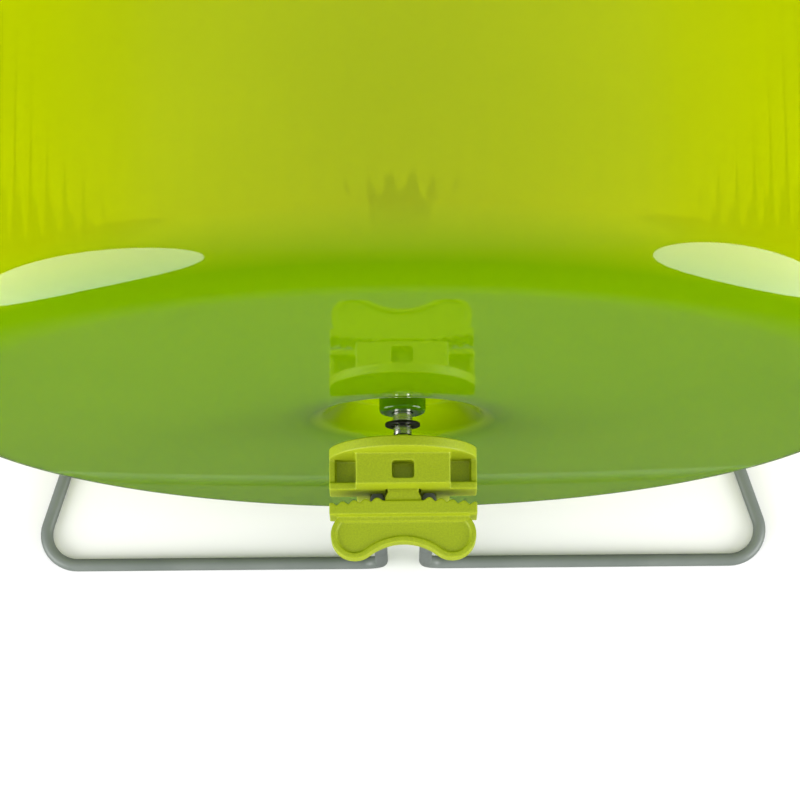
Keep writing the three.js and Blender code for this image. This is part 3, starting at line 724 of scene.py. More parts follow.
def bumped(tree, factor, shader, strength, distance_mm):
    """Gives a shader a bump from a factor."""
    node = tree.nodes.new("ShaderNodeBump")
    node.inputs["Strength"].default_value = strength
    node.inputs["Distance"].default_value = distance_mm * MM
    tree.links.new(factor, node.inputs["Height"])
    tree.links.new(node.outputs["Normal"], shader.inputs["Normal"])


def linear(colour):
    """An 8-bit display colour as the linear colour that a shader takes, by the sRGB curve."""
    return tuple(
        c / 12.92 if c <= 0.04045 else ((c + 0.055) / 1.055) ** 2.4
        for c in (part / 255 for part in colour)
    )


def two_tone(tree, factor, tones, levels=TONE_LEVELS):
    """Mixes two display colours between two levels of a factor."""
    stops = [(level, linear(tone)) for level, tone in zip(levels, tones)]
    return ramp(tree, factor, stops)


def set_sockets(shader, values):
    """Sets a shader's sockets by their names."""
    for socket, value in values.items():
        shader.inputs[socket].default_value = value


def drum_colour(tree, depth):
    """Green at the back; painted light makes the wall and the recess lighter and yellower, and
    painted shade darkens the boss.
    """
    cloud = noise(tree, *DRUM_CLOUD)
    back = two_tone(tree, cloud, DRUM_BACK_TONES)
    # The wall's painted light
    wall = two_tone(tree, cloud, DRUM_WALL_PAINTED_LIGHT_TONES)
    # The recess's painted glow
    recess = two_tone(tree, cloud, DRUM_RECESS_PAINTED_GLOW_TONES)
    # The boss's painted shade
    boss = two_tone(tree, cloud, DRUM_BOSS_PAINTED_SHADE_TONES)
    # Where the recess's painted glow lies, fading out towards the recess's rim
    hollow = near_axis(tree, RECESS_FLOOR_RADIUS, RECESS_RIM_RADIUS)
    # Where the boss's painted shade lies
    middle = near_axis(tree, BOSS_PAINTED_SHADE_NEAR, BOSS_PAINTED_SHADE_FAR)
    disc = blended(tree, hollow, back, recess)
    disc = blended(tree, middle, disc, boss)
    # Towards the front, the wall's painted light takes over from the back's green
    return blended(tree, depth, disc, wall)


def drum_plastic():
    """Glossy green plastic, clear enough in its wall for the hub to show through."""
    material, tree, shader = new_material("drum_plastic")
    depth = forward(tree)
    clearness = ranged(tree, depth, *DRUM_CLEARNESS)
    haze = ranged(tree, noise(tree, *DRUM_HAZE), *DRUM_ROUGHNESS)
    tree.links.new(drum_colour(tree, depth), shader.inputs["Base Color"])
    tree.links.new(clearness, shader.inputs["Transmission Weight"])
    tree.links.new(haze, shader.inputs["Roughness"])
    bumped(tree, noise(tree, *DRUM_WAVE), shader, *DRUM_BUMP)
    set_sockets(shader, DRUM_SHADER)
    return material


def mottled_material(name):
    """A material from its row in LOOKS."""
    look = LOOKS[name]
    material, tree, shader = new_material(name)
    mottle = noise(tree, *look["mottle"])
    grain = noise(tree, *look["grain"]) if "grain" in look else mottle
    colour = two_tone(tree, mottle, look["tones"], look.get("levels", TONE_LEVELS))
    tree.links.new(colour, shader.inputs["Base Color"])
    tree.links.new(ranged(tree, grain, *look["roughness"]), shader.inputs["Roughness"])
    if "bump" in look:
        bumped(tree, grain, shader, *look["bump"])
    set_sockets(shader, look.get("shader", {}))
    return material


MATERIALS = {"drum_plastic": drum_plastic()}
for material_name in LOOKS:
    MATERIALS[material_name] = mottled_material(material_name)


# ---- wheel

def back_points(from_radius, to_radius, lift, steps):
    """The back of the wheel bulges a little: its middle lies behind its rim."""
    points = []
    for k in range(steps + 1):
        radius = from_radius + (to_radius - from_radius) * k / steps
        rise = BACK_DOME * (radius / (WHEEL_RADIUS - EDGE_RADIUS)) ** 2
        points.append((radius, lift + rise, 0))
    return points


def rib_offset(k):
    """How far the running surface's fine ribs stand inwards at one of the wall's steps."""
    step = k % RIB_STEPS
    if step == 0:
        return -RIB_HEIGHT
    if step in (1, RIB_STEPS - 1):
        return -RIB_HEIGHT * RIB_FLANK_SHARE
    return 0.0


def rib_rows():
    """The ribs run along the wall's inside and fade out before both of its ends."""
    segments = RIB_COUNT * RIB_STEPS
    front_radius = WHEEL_RADIUS - WALL
    return [
        (front_radius - RIB_DRAFT, WALL_FRONT_Y - RIB_FRONT_END, segments, None),
        (front_radius - 2 * RIB_DRAFT, WALL_FRONT_Y - RIB_FRONT_FULL, segments, rib_offset),
        (WALL_BACK_RADIUS + 3 * RIB_DRAFT, EDGE_Y + RIB_BACK_FULL, segments, rib_offset),
        (WALL_BACK_RADIUS + RIB_DRAFT, EDGE_Y + RIB_BACK_END, segments, None),
    ]


def sharp(points):
    """Corners that stay as they are when an outline is rounded."""
    return [(x, y, 0) for x, y in points]


def drum_outside():
    """From the boss over the recess, the back and the rounded edge to the open front."""
    return [
        (BOSS_LIP_RADIUS, BOSS_BACK, 0.3),
        (BOSS_RADIUS, BOSS_BACK, 1.3),
        (BOSS_RADIUS, RECESS_DEPTH, 0.8),
        (RECESS_FLOOR_RADIUS, RECESS_DEPTH, 2.5),
        (RECESS_SLOPE_RADIUS, RECESS_SLOPE_Y, 3.0),
        *back_points(RECESS_RIM_RADIUS + 1, FLAT_RADIUS - FLAT_MARGIN, 0, BACK_STEPS),
        *sharp(arc(FLAT_RADIUS, EDGE_Y, EDGE_RADIUS, EDGE_START_DEG, 0, EDGE_STEPS)),
        (WHEEL_RADIUS - RIM_DRAFT, RIM_Y, 0),
        (WHEEL_RADIUS, WHEEL_DEPTH, 1.2),
    ]


def drum_inside():
    """From the open front back along the wall and the back's inside to the hub's tube."""
    rear_seat_front = REAR_SEAT_BACK + SEAT_DEPTH
    front_seat_back = HUB_FRONT - SEAT_DEPTH
    outer_end = FLAT_RADIUS - FLAT_MARGIN
    back = back_points(RECESS_RIM_RADIUS + 3, outer_end, WALL, BACK_INSIDE_STEPS)
    return [
        (WHEEL_RADIUS - WALL, WHEEL_DEPTH, 1.0),
        (WHEEL_RADIUS - WALL, WALL_FRONT_Y, 0),
        (WALL_BACK_RADIUS, EDGE_Y, 0),
        *sharp(arc(FLAT_RADIUS, EDGE_Y, EDGE_RADIUS - WALL,
                   EDGE_INSIDE_END_DEG, EDGE_START_DEG, EDGE_INSIDE_STEPS)),
        *back[::-1],
        (RECESS_INSIDE_RADIUS, RECESS_DEPTH + WALL, 3.0),
        (HUB_RADIUS, RECESS_DEPTH + WALL, 2.5),
        (HUB_RADIUS, HUB_FRONT, 0.6),
        (SEAT_RADIUS, HUB_FRONT, 0.3),
        (SEAT_RADIUS, front_seat_back, 0),
        (SHOULDER_RADIUS, front_seat_back, 0.2),
        (SHOULDER_RADIUS, rear_seat_front, 0.2),
        (SEAT_RADIUS, rear_seat_front, 0),
        (SEAT_RADIUS, REAR_SEAT_BACK, 0),
        (BOSS_LIP_RADIUS, REAR_SEAT_BACK, 0.2),
    ]


def wheel_drum():
    """The whole drum as one turned moulding, with ribs let into its running surface."""
    rows = []
    for x, y in rounded([*drum_outside(), *drum_inside()], 0, BROAD_EDGE_STEPS):
        rows.append((x, y, BODY_SEGMENTS, None))
        if abs(y - WALL_FRONT_Y) < ON_AXIS and x < WHEEL_RADIUS - WALL / 2:
            rows += rib_rows()
    mesh = revolve("drum_shell", rows, True)
    add_piece(mesh, "wheel", ["wheel_drum"], "drum_plastic")


def hub_cap():
    """The domed cap over the front end of the hub."""
    low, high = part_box("hub_cap")
    back = (low.y - ORIGIN.y) / MM
    front = (high.y - ORIGIN.y) / MM
    inner = HUB_RADIUS + CAP_GAP
    outer = inner + CAP_WALL
    mesh = turned("hub_cover", [
        (0, front),
        (outer - CAP_TOP_INSET, front - CAP_CROWN, 3.0),
        (outer, front - CAP_SHOULDER, 2.2),
        (outer, back, 0.5),
        (inner, back, 0.3),
        (inner, front - CAP_INNER_SHOULDER, 1.5),
        (0, front - CAP_TOP_THICKNESS),
    ], 0, CAP_SEGMENTS, BROAD_EDGE_STEPS)
    add_piece(mesh, "wheel", ["hub_cap"], "drum_plastic")


wheel_drum()
hub_cap()


# ---- axle and what it carries

def thread_offset(y):
    """How far a thread's surface stands in or out round one turn at a place along it."""
    def offset(k):
        turn = y / THREAD_PITCH - k / SMALL_SEGMENTS
        return THREAD_DEPTH / 2 * math.cos(2 * math.pi * turn)
    return offset


def threaded(start, end):
    """Rows of a helical thread. Each row's points shift round with the turn of the thread."""
    count = round((end - start) / THREAD_PITCH * THREAD_STEPS_PER_TURN)
    radius = AXLE_RADIUS - THREAD_DEPTH / 2
    rows = []
    for k in range(count + 1):
        y = start + (end - start) * k / count
        rows.append((radius, y, SMALL_SEGMENTS, thread_offset(y)))
    return rows


def axle_head():
    """The axle's round head, up to where it meets the shank."""
    return [
        (0, AXLE_HEAD_BACK),
        (AXLE_HEAD_RADIUS, AXLE_HEAD_BACK, 0.5),
        (AXLE_HEAD_RADIUS, AXLE_HEAD_FRONT, 0.3),
        (AXLE_RADIUS, AXLE_HEAD_FRONT, 0),
        (AXLE_RADIUS, AXLE_HEAD_FRONT + 0.5, 0),
    ]


def axle_shank(thread_front, thread_back):
    """Between the two threads: the clip's groove, and the shoulder that the bearings meet."""
    groove_back = CLIP_MIDDLE - CLIP_GROOVE_WIDTH / 2
    groove_front = CLIP_MIDDLE + CLIP_GROOVE_WIDTH / 2
    shoulder_front = REAR_BEARING - BEARING_HALF - MATING_GAP
    return [
        (AXLE_RADIUS, thread_front + 2 * THREAD_RUN_OUT, 0),
        (AXLE_RADIUS, groove_back, 0.1),
        (CLIP_GROOVE_RADIUS, groove_back, 0.08),
        (CLIP_GROOVE_RADIUS, groove_front, 0.08),
        (AXLE_SHOULDER_RADIUS, groove_front, 0.15),
        (AXLE_SHOULDER_RADIUS, shoulder_front, 0.15),
        (AXLE_RADIUS, shoulder_front, 0.1),
        (AXLE_RADIUS, thread_back, 0),
    ]


def axle_tip():
    """The chamfered front end of the axle."""
    return [
        (AXLE_RADIUS - 0.2, AXLE_FRONT - 2 * THREAD_RUN_OUT, 0),
        (AXLE_RADIUS - AXLE_TIP_CHAMFER, AXLE_FRONT, 0.2),
        (0, AXLE_FRONT),
    ]


def axle():
    """The axle: a head, a thread for the clamp's nut, its shank, and a thread at its front."""
    nut_front = FLANGE_FRONT + MATING_GAP + NUT_THICKNESS
    thread_back = FRONT_BEARING + BEARING_HALF
    shank = axle_shank(nut_front, thread_back)
    mesh = revolve("axle_rod", [
        *plain_rows(rounded(axle_head(), 0, FINE_EDGE_STEPS)),
        *threaded(AXLE_HEAD_FRONT + THREAD_FROM_HEAD, nut_front + THREAD_RUN_OUT),
        *plain_rows(rounded(shank, 0, FINE_EDGE_STEPS)),
        *threaded(thread_back + THREAD_RUN_OUT, AXLE_FRONT - THREAD_FROM_TIP),
        *plain_rows(rounded(axle_tip(), 0, FINE_EDGE_STEPS)),
    ], False)
    add_piece(mesh, "stand", ["axle"], "turned_steel")


def axle_clip():
    """An E-clip: a springy ring with an open mouth and three pads in the axle's groove."""
    back = CLIP_MIDDLE - CLIP_THICKNESS / 2
    front = CLIP_MIDDLE + CLIP_THICKNESS / 2
    ring = round_rod(CLIP_RADIUS, back, front)
    bore = round_rod(CLIP_BORE, back - CLEAR, front + CLEAR)
    mouth = block(-CLIP_MOUTH_HALF_WIDTH, CLIP_MOUTH_HALF_WIDTH, back - CLEAR, front + CLEAR,
                  -CLIP_RADIUS - CLEAR, -CLEAR)
    pads = []
    for degrees in CLIP_PAD_DEGREES:
        pad = block(CLIP_GROOVE_RADIUS + MATING_GAP / 2, CLIP_BORE + JOIN, back, front,
                    -CLIP_PAD_HALF_WIDTH, CLIP_PAD_HALF_WIDTH)
        pad.data.transform(Matrix.Rotation(-math.radians(degrees), 4, "Y"))
        pads.append(pad)
    clip = combine(ring, [bore], "DIFFERENCE")
    clip = combine(clip, pads, "UNION")
    clip = combine(clip, [mouth], "DIFFERENCE")
    mesh = moulded(clip, "retaining_clip", CLIP_VOXEL, CLIP_KEEP)
    add_piece(mesh, "stand", ["axle_clip"], "black_steel")


def hexagon_radius(angle):
    """How far a nut's flats lie from its axis in one direction."""
    from_flat = (angle % (math.pi / 3)) - math.pi / 6
    return NUT_ACROSS_FLATS / 2 / math.cos(from_flat)


def hexagon(y, corner_cut):
    """A ring of points round a nut, with its corners cut back from their full radius."""
    most = hexagon_radius(0) - corner_cut
    ring = []
    for k, (x, z) in enumerate(circle(1, SMALL_SEGMENTS)):
        radius = min(hexagon_radius(2 * math.pi * k / SMALL_SEGMENTS), most)
        ring.append((radius * x, y, radius * z))
    return ring


def bore_ring(y, radius):
    """A ring of points round a bore."""
    return [(x, y, z) for x, z in circle(radius, SMALL_SEGMENTS)]


def closed_loop_faces(rings, around):
    """Faces of a ring of rings, each with the same number of points."""
    faces = []
    for r in range(rings):
        one = r * around
        two = (r + 1) % rings * around
        for k in range(around):
            j = (k + 1) % around
            faces.append((one + k, one + j, two + j, two + k))
    return faces


def hex_nut(name, node, back):
    """A hexagon, chamfered at both ends, with a bored thread that opens a little at its ends."""
    front = back + NUT_THICKNESS
    opening = NUT_BORE_RADIUS + NUT_LEAD_IN
    rings = [
        hexagon(back, NUT_CORNER_CUT),
        hexagon(back + NUT_CHAMFER, 0),
        hexagon(front - NUT_CHAMFER, 0),
        hexagon(front, NUT_CORNER_CUT),
        bore_ring(front, opening),
        bore_ring(front - NUT_LEAD_IN, NUT_BORE_RADIUS),
        bore_ring(back + NUT_LEAD_IN, NUT_BORE_RADIUS),
        bore_ring(back, opening),
    ]
    points = [point for ring in rings for point in ring]
    mesh = mesh_from(name, points, closed_loop_faces(len(rings), SMALL_SEGMENTS), NUT_CRISP_DEG)
    add_piece(mesh, "stand", [node], "turned_steel")


def plain_ring(name, node, inner, outer, back, front):
    """A washer or a sleeve."""
    outline = [(inner, back), (outer, back), (outer, front), (inner, front)]
    mesh = turned(name, outline, RING_EDGE)
    add_piece(mesh, "stand", [node], "turned_steel")


def axle_stack():
    """The axle, and what sits on it apart from the bearings."""
    washer_back = FRONT_BEARING + BEARING_HALF + MATING_GAP
    washer_front = washer_back + WASHER_THICKNESS
    spacer_back = REAR_BEARING + BEARING_HALF + MATING_GAP
    spacer_front = FRONT_BEARING - BEARING_HALF - MATING_GAP
    axle()
    axle_clip()
    hex_nut("clamp_hex_nut", "clamp_nut", FLANGE_FRONT + MATING_GAP)
    hex_nut("front_hex_nut", "front_lock_nut", washer_front + MATING_GAP)
    plain_ring("flat_washer", "front_washer",
               NUT_BORE_RADIUS, WASHER_RADIUS, washer_back, washer_front)
    plain_ring("spacer_sleeve", "bearing_spacer",
               SPACER_BORE, SPACER_RADIUS, spacer_back, spacer_front)


# ---- ball bearings

def ball_groove(radius, middle, direction):
    """The groove that the balls run in, cut into a ring's bore, 1, or its outside, -1."""
    points = []
    for degrees in range(-90, 91, GROOVE_STEP_DEG):
        t = math.radians(degrees)
        x = radius + direction * GROOVE_DEPTH * math.cos(t)
        points.append((x, middle - direction * GROOVE_HALF_WIDTH * math.sin(t)))
    return sharp(points)


def outer_race(end, middle):
    """An outer ring: a ball groove in its bore, and a step at each end for a dust shield."""
    back = middle - BEARING_HALF
    front = middle + BEARING_HALF
    step_bore = OUTER_RING_BORE + SHIELD_STEP_DEPTH
    mesh = turned(f"{end}_outer_race", [
        (OUTER_RING_RADIUS, back, 0.3),
        (OUTER_RING_RADIUS, front, 0.3),
        (step_bore, front),
        (step_bore, middle + SHIELD_STEP_HALF),
        (OUTER_RING_BORE, middle + SHIELD_STEP_HALF),
        *ball_groove(OUTER_RING_BORE, middle, 1),
        (OUTER_RING_BORE, middle - SHIELD_STEP_HALF),
        (step_bore, middle - SHIELD_STEP_HALF),
        (step_bore, back),
    ], RACE_EDGE)
    add_piece(mesh, "wheel", [f"{end}_bearing_outer_ring"], "turned_steel")


def inner_race(end, middle):
    """An inner ring, with a ball groove round its outside."""
    back = middle - BEARING_HALF
    front = middle + BEARING_HALF
    mesh = turned(f"{end}_inner_race", [
        (INNER_RING_BORE, back, 0.2),
        (INNER_RING_RADIUS, back, 0.12),
        *ball_groove(INNER_RING_RADIUS, middle, -1),
        (INNER_RING_RADIUS, front, 0.12),
        (INNER_RING_BORE, front, 0.2),
    ], RACE_EDGE)
    add_piece(mesh, "stand", [f"{end}_bearing_inner_ring"], "turned_steel")


def ball_set(end, middle):
    """All the balls of one bearing, as one piece."""
    work = bmesh.new()
    for x, z in circle(BALL_CIRCLE_RADIUS, BALL_COUNT):
        spot = Matrix.Translation(place((x, middle, -z)))
        bmesh.ops.create_icosphere(work, subdivisions=3, radius=BALL_RADIUS * MM, matrix=spot)
    mesh = bpy.data.meshes.new(f"{end}_balls")
    work.to_mesh(mesh)
    work.free()
    mesh.shade_smooth()
    nodes = [f"{end}_bearing_ball_{k + 1}" for k in range(BALL_COUNT)]
    add_piece(mesh, f"{end}_ball_set", nodes, "ball_steel")


def cage_back(k, middle):
    """Where the cage ends towards the back at one of its steps: in a pocket, or at a finger."""
    from_ball = (k + CAGE_STEPS // 2) % CAGE_STEPS - CAGE_STEPS // 2
    step = 2 * math.pi / (BALL_COUNT * CAGE_STEPS)
    reach = abs(from_ball) * step * BALL_CIRCLE_RADIUS
    if reach < CAGE_POCKET_RADIUS:
        return middle + math.sqrt(CAGE_POCKET_RADIUS ** 2 - reach ** 2)
    return middle - CAGE_FINGER_BACK


def crown_cage(end, middle):
    """A ring with a round pocket for each ball and a finger between each two pockets."""
    inner = BALL_CIRCLE_RADIUS - CAGE_HALF_WIDTH
    outer = BALL_CIRCLE_RADIUS + CAGE_HALF_WIDTH
    front = middle + CAGE_FRONT
    count = BALL_COUNT * CAGE_STEPS
    points = []
    for k, (x, z) in enumerate(circle(1, count)):
        back = cage_back(k, middle)
        for radius, y in ((inner, back), (outer, back), (outer, front), (inner, front)):
            points.append((radius * x, y, -radius * z))
    mesh = mesh_from(f"{end}_crown_cage", points, closed_loop_faces(count, 4), CAGE_CRISP_DEG)
    add_piece(mesh, f"{end}_ball_set", [f"{end}_bearing_cage"], "cage_nylon")


def pressed_shield(end, middle, outward):
    """A thin pressed disc with a shallow rolled channel, closing one face of the bearing."""
    inner = INNER_RING_RADIUS + SHIELD_REACH
    outer = OUTER_RING_BORE + SHIELD_REACH
    side = "front" if outward > 0 else "back"
    low = middle + outward * SHIELD_MIDDLE - SHIELD_THICKNESS / 2
    high = low + SHIELD_THICKNESS
    dish = SHIELD_CHANNEL * outward
    mesh = turned(f"{end}_{side}_dust_shield", [
        (inner, low),
        (inner + SHIELD_INNER_STEP, low - dish, 0.3),
        (outer - SHIELD_OUTER_STEP, low - dish, 0.3),
        (outer, low),
        (outer, high),
        (outer - SHIELD_OUTER_STEP, high - dish, 0.3),
        (inner + SHIELD_INNER_STEP, high - dish, 0.3),
        (inner, high),
    ], SHIELD_EDGE)
    add_piece(mesh, "wheel", [f"{end}_bearing_{side}_shield"], "turned_steel")


def bearing(end, middle):
    """One ball bearing: two races, balls, cage and dust shields."""
    outer_race(end, middle)
    inner_race(end, middle)
    ball_set(end, middle)
    crown_cage(end, middle)
    pressed_shield(end, middle, -1)
    pressed_shield(end, middle, 1)


# ---- clamp

def upright_seat(side):
    """The slanted round channel that seats one upright of the stand in the clamp's jaws."""
    outline = circle(WIRE_RADIUS + WIRE_SEAT_GAP, WIRE_SEAT_SEGMENTS)
    seat = prism(outline, WIRE_SEAT_TOP - WIRE_SEAT_LENGTH, WIRE_SEAT_TOP, "z")
    lean = math.atan2(UPRIGHT_TOP_Y - BASE_BACK_Y, AXLE_HEIGHT - WIRE_RADIUS)
    top = Matrix.Translation((side * UPRIGHT_X, UPRIGHT_TOP_Y, 0))
    seat.data.transform(top @ Matrix.Rotation(-lean, 4, "X"))
    return seat


def latch_window(side):
    """The window's well, and the slots that free the springy tongue at the well's floor."""
    low, high = sorted((side * TONGUE_TOP, side * (BLOCK_HALF_HEIGHT + CLEAR)))
    slot = sorted((side * (CHANNEL_HALF_HEIGHT - CLEAR), side * (TONGUE_TOP + CLEAR)))
    middle = (WINDOW_FRONT + WINDOW_BACK) / 2
    corners = rounded_box_outline(WINDOW_HALF_WIDTH, WINDOW_FRONT - middle, WINDOW_EDGE)
    cuts = [prism([(x, y + middle) for x, y in corners], low, high, "z")]
    for left in (-WINDOW_HALF_WIDTH, WINDOW_HALF_WIDTH - TONGUE_SLOT):
        cuts.append(block(left, left + TONGUE_SLOT, WINDOW_BACK + TONGUE_SLOT, WINDOW_FRONT, *slot))
    cuts.append(block(-WINDOW_HALF_WIDTH, WINDOW_HALF_WIDTH, WINDOW_FRONT - TONGUE_SLOT,
                      WINDOW_FRONT, *slot))
    return cuts


def ejector_mark(level):
    """The shallow round mark that a mould's ejector pin leaves."""
    spot = (EJECTOR_MARK_SEGMENTS, EJECTOR_MARK_X, EJECTOR_MARK_Y)
    rim = circle(EJECTOR_MARK_RADIUS, *spot)
    middle = circle(EJECTOR_MARK_BORE, *spot)
    disc = prism(rim, level - EJECTOR_MARK_DEPTH, level + CLEAR, "z")
    core = prism(middle, level - CLEAR, level + 2 * CLEAR, "z")
    return combine(disc, [core], "DIFFERENCE")


def clamp_flange():
    """The clamp's round front flange, trimmed flat at both sides."""
    flange = round_rod(FLANGE_RADIUS, FLANGE_BACK, FLANGE_FRONT, FLANGE_SEGMENTS)
    trim = slab(CLAMP_HALF_WIDTH, FLANGE_BACK - CLEAR, FLANGE_FRONT + CLEAR, FLANGE_RADIUS + CLEAR)
    return combine(flange, [trim], "INTERSECT")


def clamp_jaw_parts():
    """The block behind the flange, the inner jaw, and the web and walls that stiffen it."""
    back = INNER_JAW_FRONT - JOIN
    front = FLANGE_BACK + JOIN
    wall_top = JAW_HALF_HEIGHT - CLEAR
    core = rounded_box_outline(BLOCK_HALF_WIDTH, BLOCK_HALF_HEIGHT, BLOCK_EDGE)
    jaw = rounded_box_outline(CLAMP_HALF_WIDTH, JAW_HALF_HEIGHT, JAW_EDGE)
    parts = [
        prism(core, INNER_JAW_BACK, front, "y"),
        prism(jaw, INNER_JAW_BACK, INNER_JAW_FRONT, "y"),
        slab(CLAMP_HALF_WIDTH - CLEAR, back, front, SIDE_WEB / 2),
    ]
    for low in (-CLAMP_HALF_WIDTH, CLAMP_HALF_WIDTH - SIDE_WALL):
        parts.append(block(low, low + SIDE_WALL, back, front, -wall_top, wall_top))
    return parts


def clamp_body():
    """The clamp's fixed half, which the axle is screwed to."""
    cuts = [
        slab(CHANNEL_HALF_WIDTH, INNER_JAW_BACK - CLEAR, FLANGE_BACK, CHANNEL_HALF_HEIGHT),
        round_rod(HEAD_POCKET_RADIUS, FLANGE_BACK - JOIN, HEAD_POCKET_FRONT),
        round_rod(NUT_BORE_RADIUS, FLANGE_BACK, FLANGE_FRONT + CLEAR),
        *latch_window(-1),
        *latch_window(1),
        upright_seat(-1),
        upright_seat(1),
        ejector_mark(BLOCK_HALF_HEIGHT),
    ]
    body = combine(clamp_flange(), clamp_jaw_parts(), "UNION")
    body = combine(body, cuts, "DIFFERENCE")
    mesh = moulded(body, "bar_clamp", CLAMP_VOXEL, CLAMP_KEEP)
    add_piece(mesh, "stand", ["clamp_body"], "clamp_plastic")


def grip_outline(inset):
    """The bow-tie outline of the finger grip: two round lobes and a hollow waist."""
    lobe = GRIP_LOBE_RADIUS - inset
    drop = GRIP_WAIST_Y - GRIP_LOBE_Y
    waist = (GRIP_LOBE_X ** 2 + drop ** 2 - GRIP_LOBE_RADIUS ** 2) / (2 * (GRIP_LOBE_RADIUS + drop))
    waist_y = GRIP_WAIST_Y - waist
    lean = math.degrees(math.atan2(GRIP_LOBE_X, GRIP_LOBE_Y - waist_y))
    left = arc(-GRIP_LOBE_X, GRIP_LOBE_Y, lobe, 90, 270 + lean, GRIP_ARC_STEPS)
    middle = arc(0, waist_y, waist + inset, 90 + lean, 90 - lean, GRIP_ARC_STEPS)
    right = arc(GRIP_LOBE_X, GRIP_LOBE_Y, lobe, 270 - lean, 450, GRIP_ARC_STEPS)
    return [*left, *middle[1:-1], *right]


def finger_grip():
    """The grip's plate, with a sunk panel inside the rim of its top and of its underside."""
    lobes = prism(grip_outline(0), -GRIP_HALF_THICKNESS, GRIP_HALF_THICKNESS, "z")
    root = slab(GRIP_LOBE_X + GRIP_ROOT_REACH, GRIP_LOBE_Y + GRIP_ROOT_Y, OUTER_JAW_BACK + JOIN,
                GRIP_HALF_THICKNESS)
    plate = combine(lobes, [root], "UNION")
    level = GRIP_HALF_THICKNESS - GRIP_PANEL_DEPTH
    panels = []
    for low, high in ((level, CUT_HEIGHT), (-CUT_HEIGHT, -level)):
        panel = prism(grip_outline(GRIP_RIM), low, high, "z")
        behind_jaw = slab(CUT_REACH, -CUT_REACH, OUTER_JAW_BACK - GRIP_RIM, CUT_REACH)
        panels.append(combine(panel, [behind_jaw], "INTERSECT"))
    return combine(plate, panels, "DIFFERENCE")


def both_sides(half):
    """An outline's right half, from front to back, and its mirror image."""
    return [*half, *[(-x, y) for x, y in half[::-1]]]


def jaw_front(x):
    """Where the valleys of the outer jaw's teeth lie, which is further back towards its ends."""
    along = (x - NECK_FLARE_HALF_WIDTH) / (CLAMP_HALF_WIDTH - NECK_FLARE_HALF_WIDTH)
    return OUTER_JAW_MIDDLE_FRONT + (OUTER_JAW_END_FRONT - OUTER_JAW_MIDDLE_FRONT) * along


def outer_jaw_outline():
    """The serrated jaw, seen from above."""
    half = []
    last_tip = CLAMP_HALF_WIDTH - JAW_LAST_TIP
    for i in range(JAW_TOOTH_COUNT):
        tip = last_tip - (JAW_TOOTH_COUNT - 1 - i) * JAW_TOOTH_PITCH
        valley = tip - JAW_TOOTH_PITCH / 2
        tip_y = jaw_front(tip) + JAW_TOOTH_DEPTH
        half.append((valley, jaw_front(valley)))
        half.append((tip - JAW_TOOTH_TIP, tip_y))
        half.append((tip + JAW_TOOTH_TIP, tip_y))
    half.append((CLAMP_HALF_WIDTH, jaw_front(CLAMP_HALF_WIDTH) + JAW_TOOTH_TIP))
    half.append((CLAMP_HALF_WIDTH, OUTER_JAW_BACK))
    return both_sides(half)


def neck_outline():
    """The stem in the clamp body's channel, and the neck that flares out to the jaw."""
    return both_sides([
        (STEM_HALF_WIDTH, STEM_FRONT),
        (STEM_HALF_WIDTH, INNER_JAW_BACK + JOIN),
        (STEM_HALF_WIDTH - STEM_TAPER, INNER_JAW_BACK - JOIN),
        (NECK_FLARE_HALF_WIDTH, NECK_FLARE_BACK),
        (NECK_FLARE_HALF_WIDTH, OUTER_JAW_BACK + CLEAR),
    ])


def ratchet_valleys():
    """The sawtooth valleys across the top and the bottom of the slider's stem."""
    half_width = STEM_HALF_WIDTH + CLEAR
    valleys = []
    for i in range(STEM_TOOTH_COUNT):
        y = STEM_FRONT - STEM_TOOTH_START - i * STEM_TOOTH_PITCH
        run_out = y - STEM_TOOTH_PITCH * STEM_TOOTH_SHARE
        for side in (-1, 1):
            valleys.append(prism([
                (y, side * (STEM_HALF_HEIGHT - STEM_TOOTH_DEPTH)),
                (y, side * (STEM_HALF_HEIGHT + CLEAR)),
                (run_out, side * (STEM_HALF_HEIGHT + CLEAR)),
                (run_out, side * STEM_HALF_HEIGHT),
            ], -half_width, half_width, "x"))
    return valleys


def clamp_slider():
    """The clamp's sliding half: stem, outer jaw and finger grip."""
    neck = prism(neck_outline(), -STEM_HALF_HEIGHT, STEM_HALF_HEIGHT, "z")
    jaw = prism(outer_jaw_outline(), -JAW_HALF_HEIGHT, JAW_HALF_HEIGHT, "z")
    slider = combine(jaw, [neck, finger_grip()], "UNION")
    cuts = [*ratchet_valleys(), upright_seat(-1), upright_seat(1)]
    slider = combine(slider, cuts, "DIFFERENCE")
    mesh = moulded(slider, "sliding_jaw", CLAMP_VOXEL, CLAMP_KEEP)
    add_piece(mesh, "outer_jaw", ["clamp_slider"], "clamp_plastic")


# ---- stand

def stand_corners(side):
    """The corners of one half of the stand, from the end in the clamp to the front bar."""
    floor_z = WIRE_RADIUS - AXLE_HEIGHT
    taper = math.tan(math.radians(BASE_TAPER_DEG)) * (BASE_FRONT_Y - BASE_BACK_Y)
    slope = (UPRIGHT_TOP_Y - BASE_BACK_Y) / -floor_z
    return [
        Vector((side * UPRIGHT_X, UPRIGHT_TOP_Y + slope * UPRIGHT_TOP, UPRIGHT_TOP)),
        Vector((side * UPRIGHT_X, BASE_BACK_Y, floor_z)),
        Vector((side * BASE_HALF_WIDTH, BASE_BACK_Y, floor_z)),
        Vector((side * (BASE_HALF_WIDTH - taper), BASE_FRONT_Y, floor_z)),
    ]


def straight_run(start, end):
    """Places and directions along a straight stretch."""
    direction = (end - start).normalized()
    steps = range(WIRE_STRAIGHT_STEPS + 1)
    return [(start.lerp(end, k / WIRE_STRAIGHT_STEPS), direction) for k in steps]


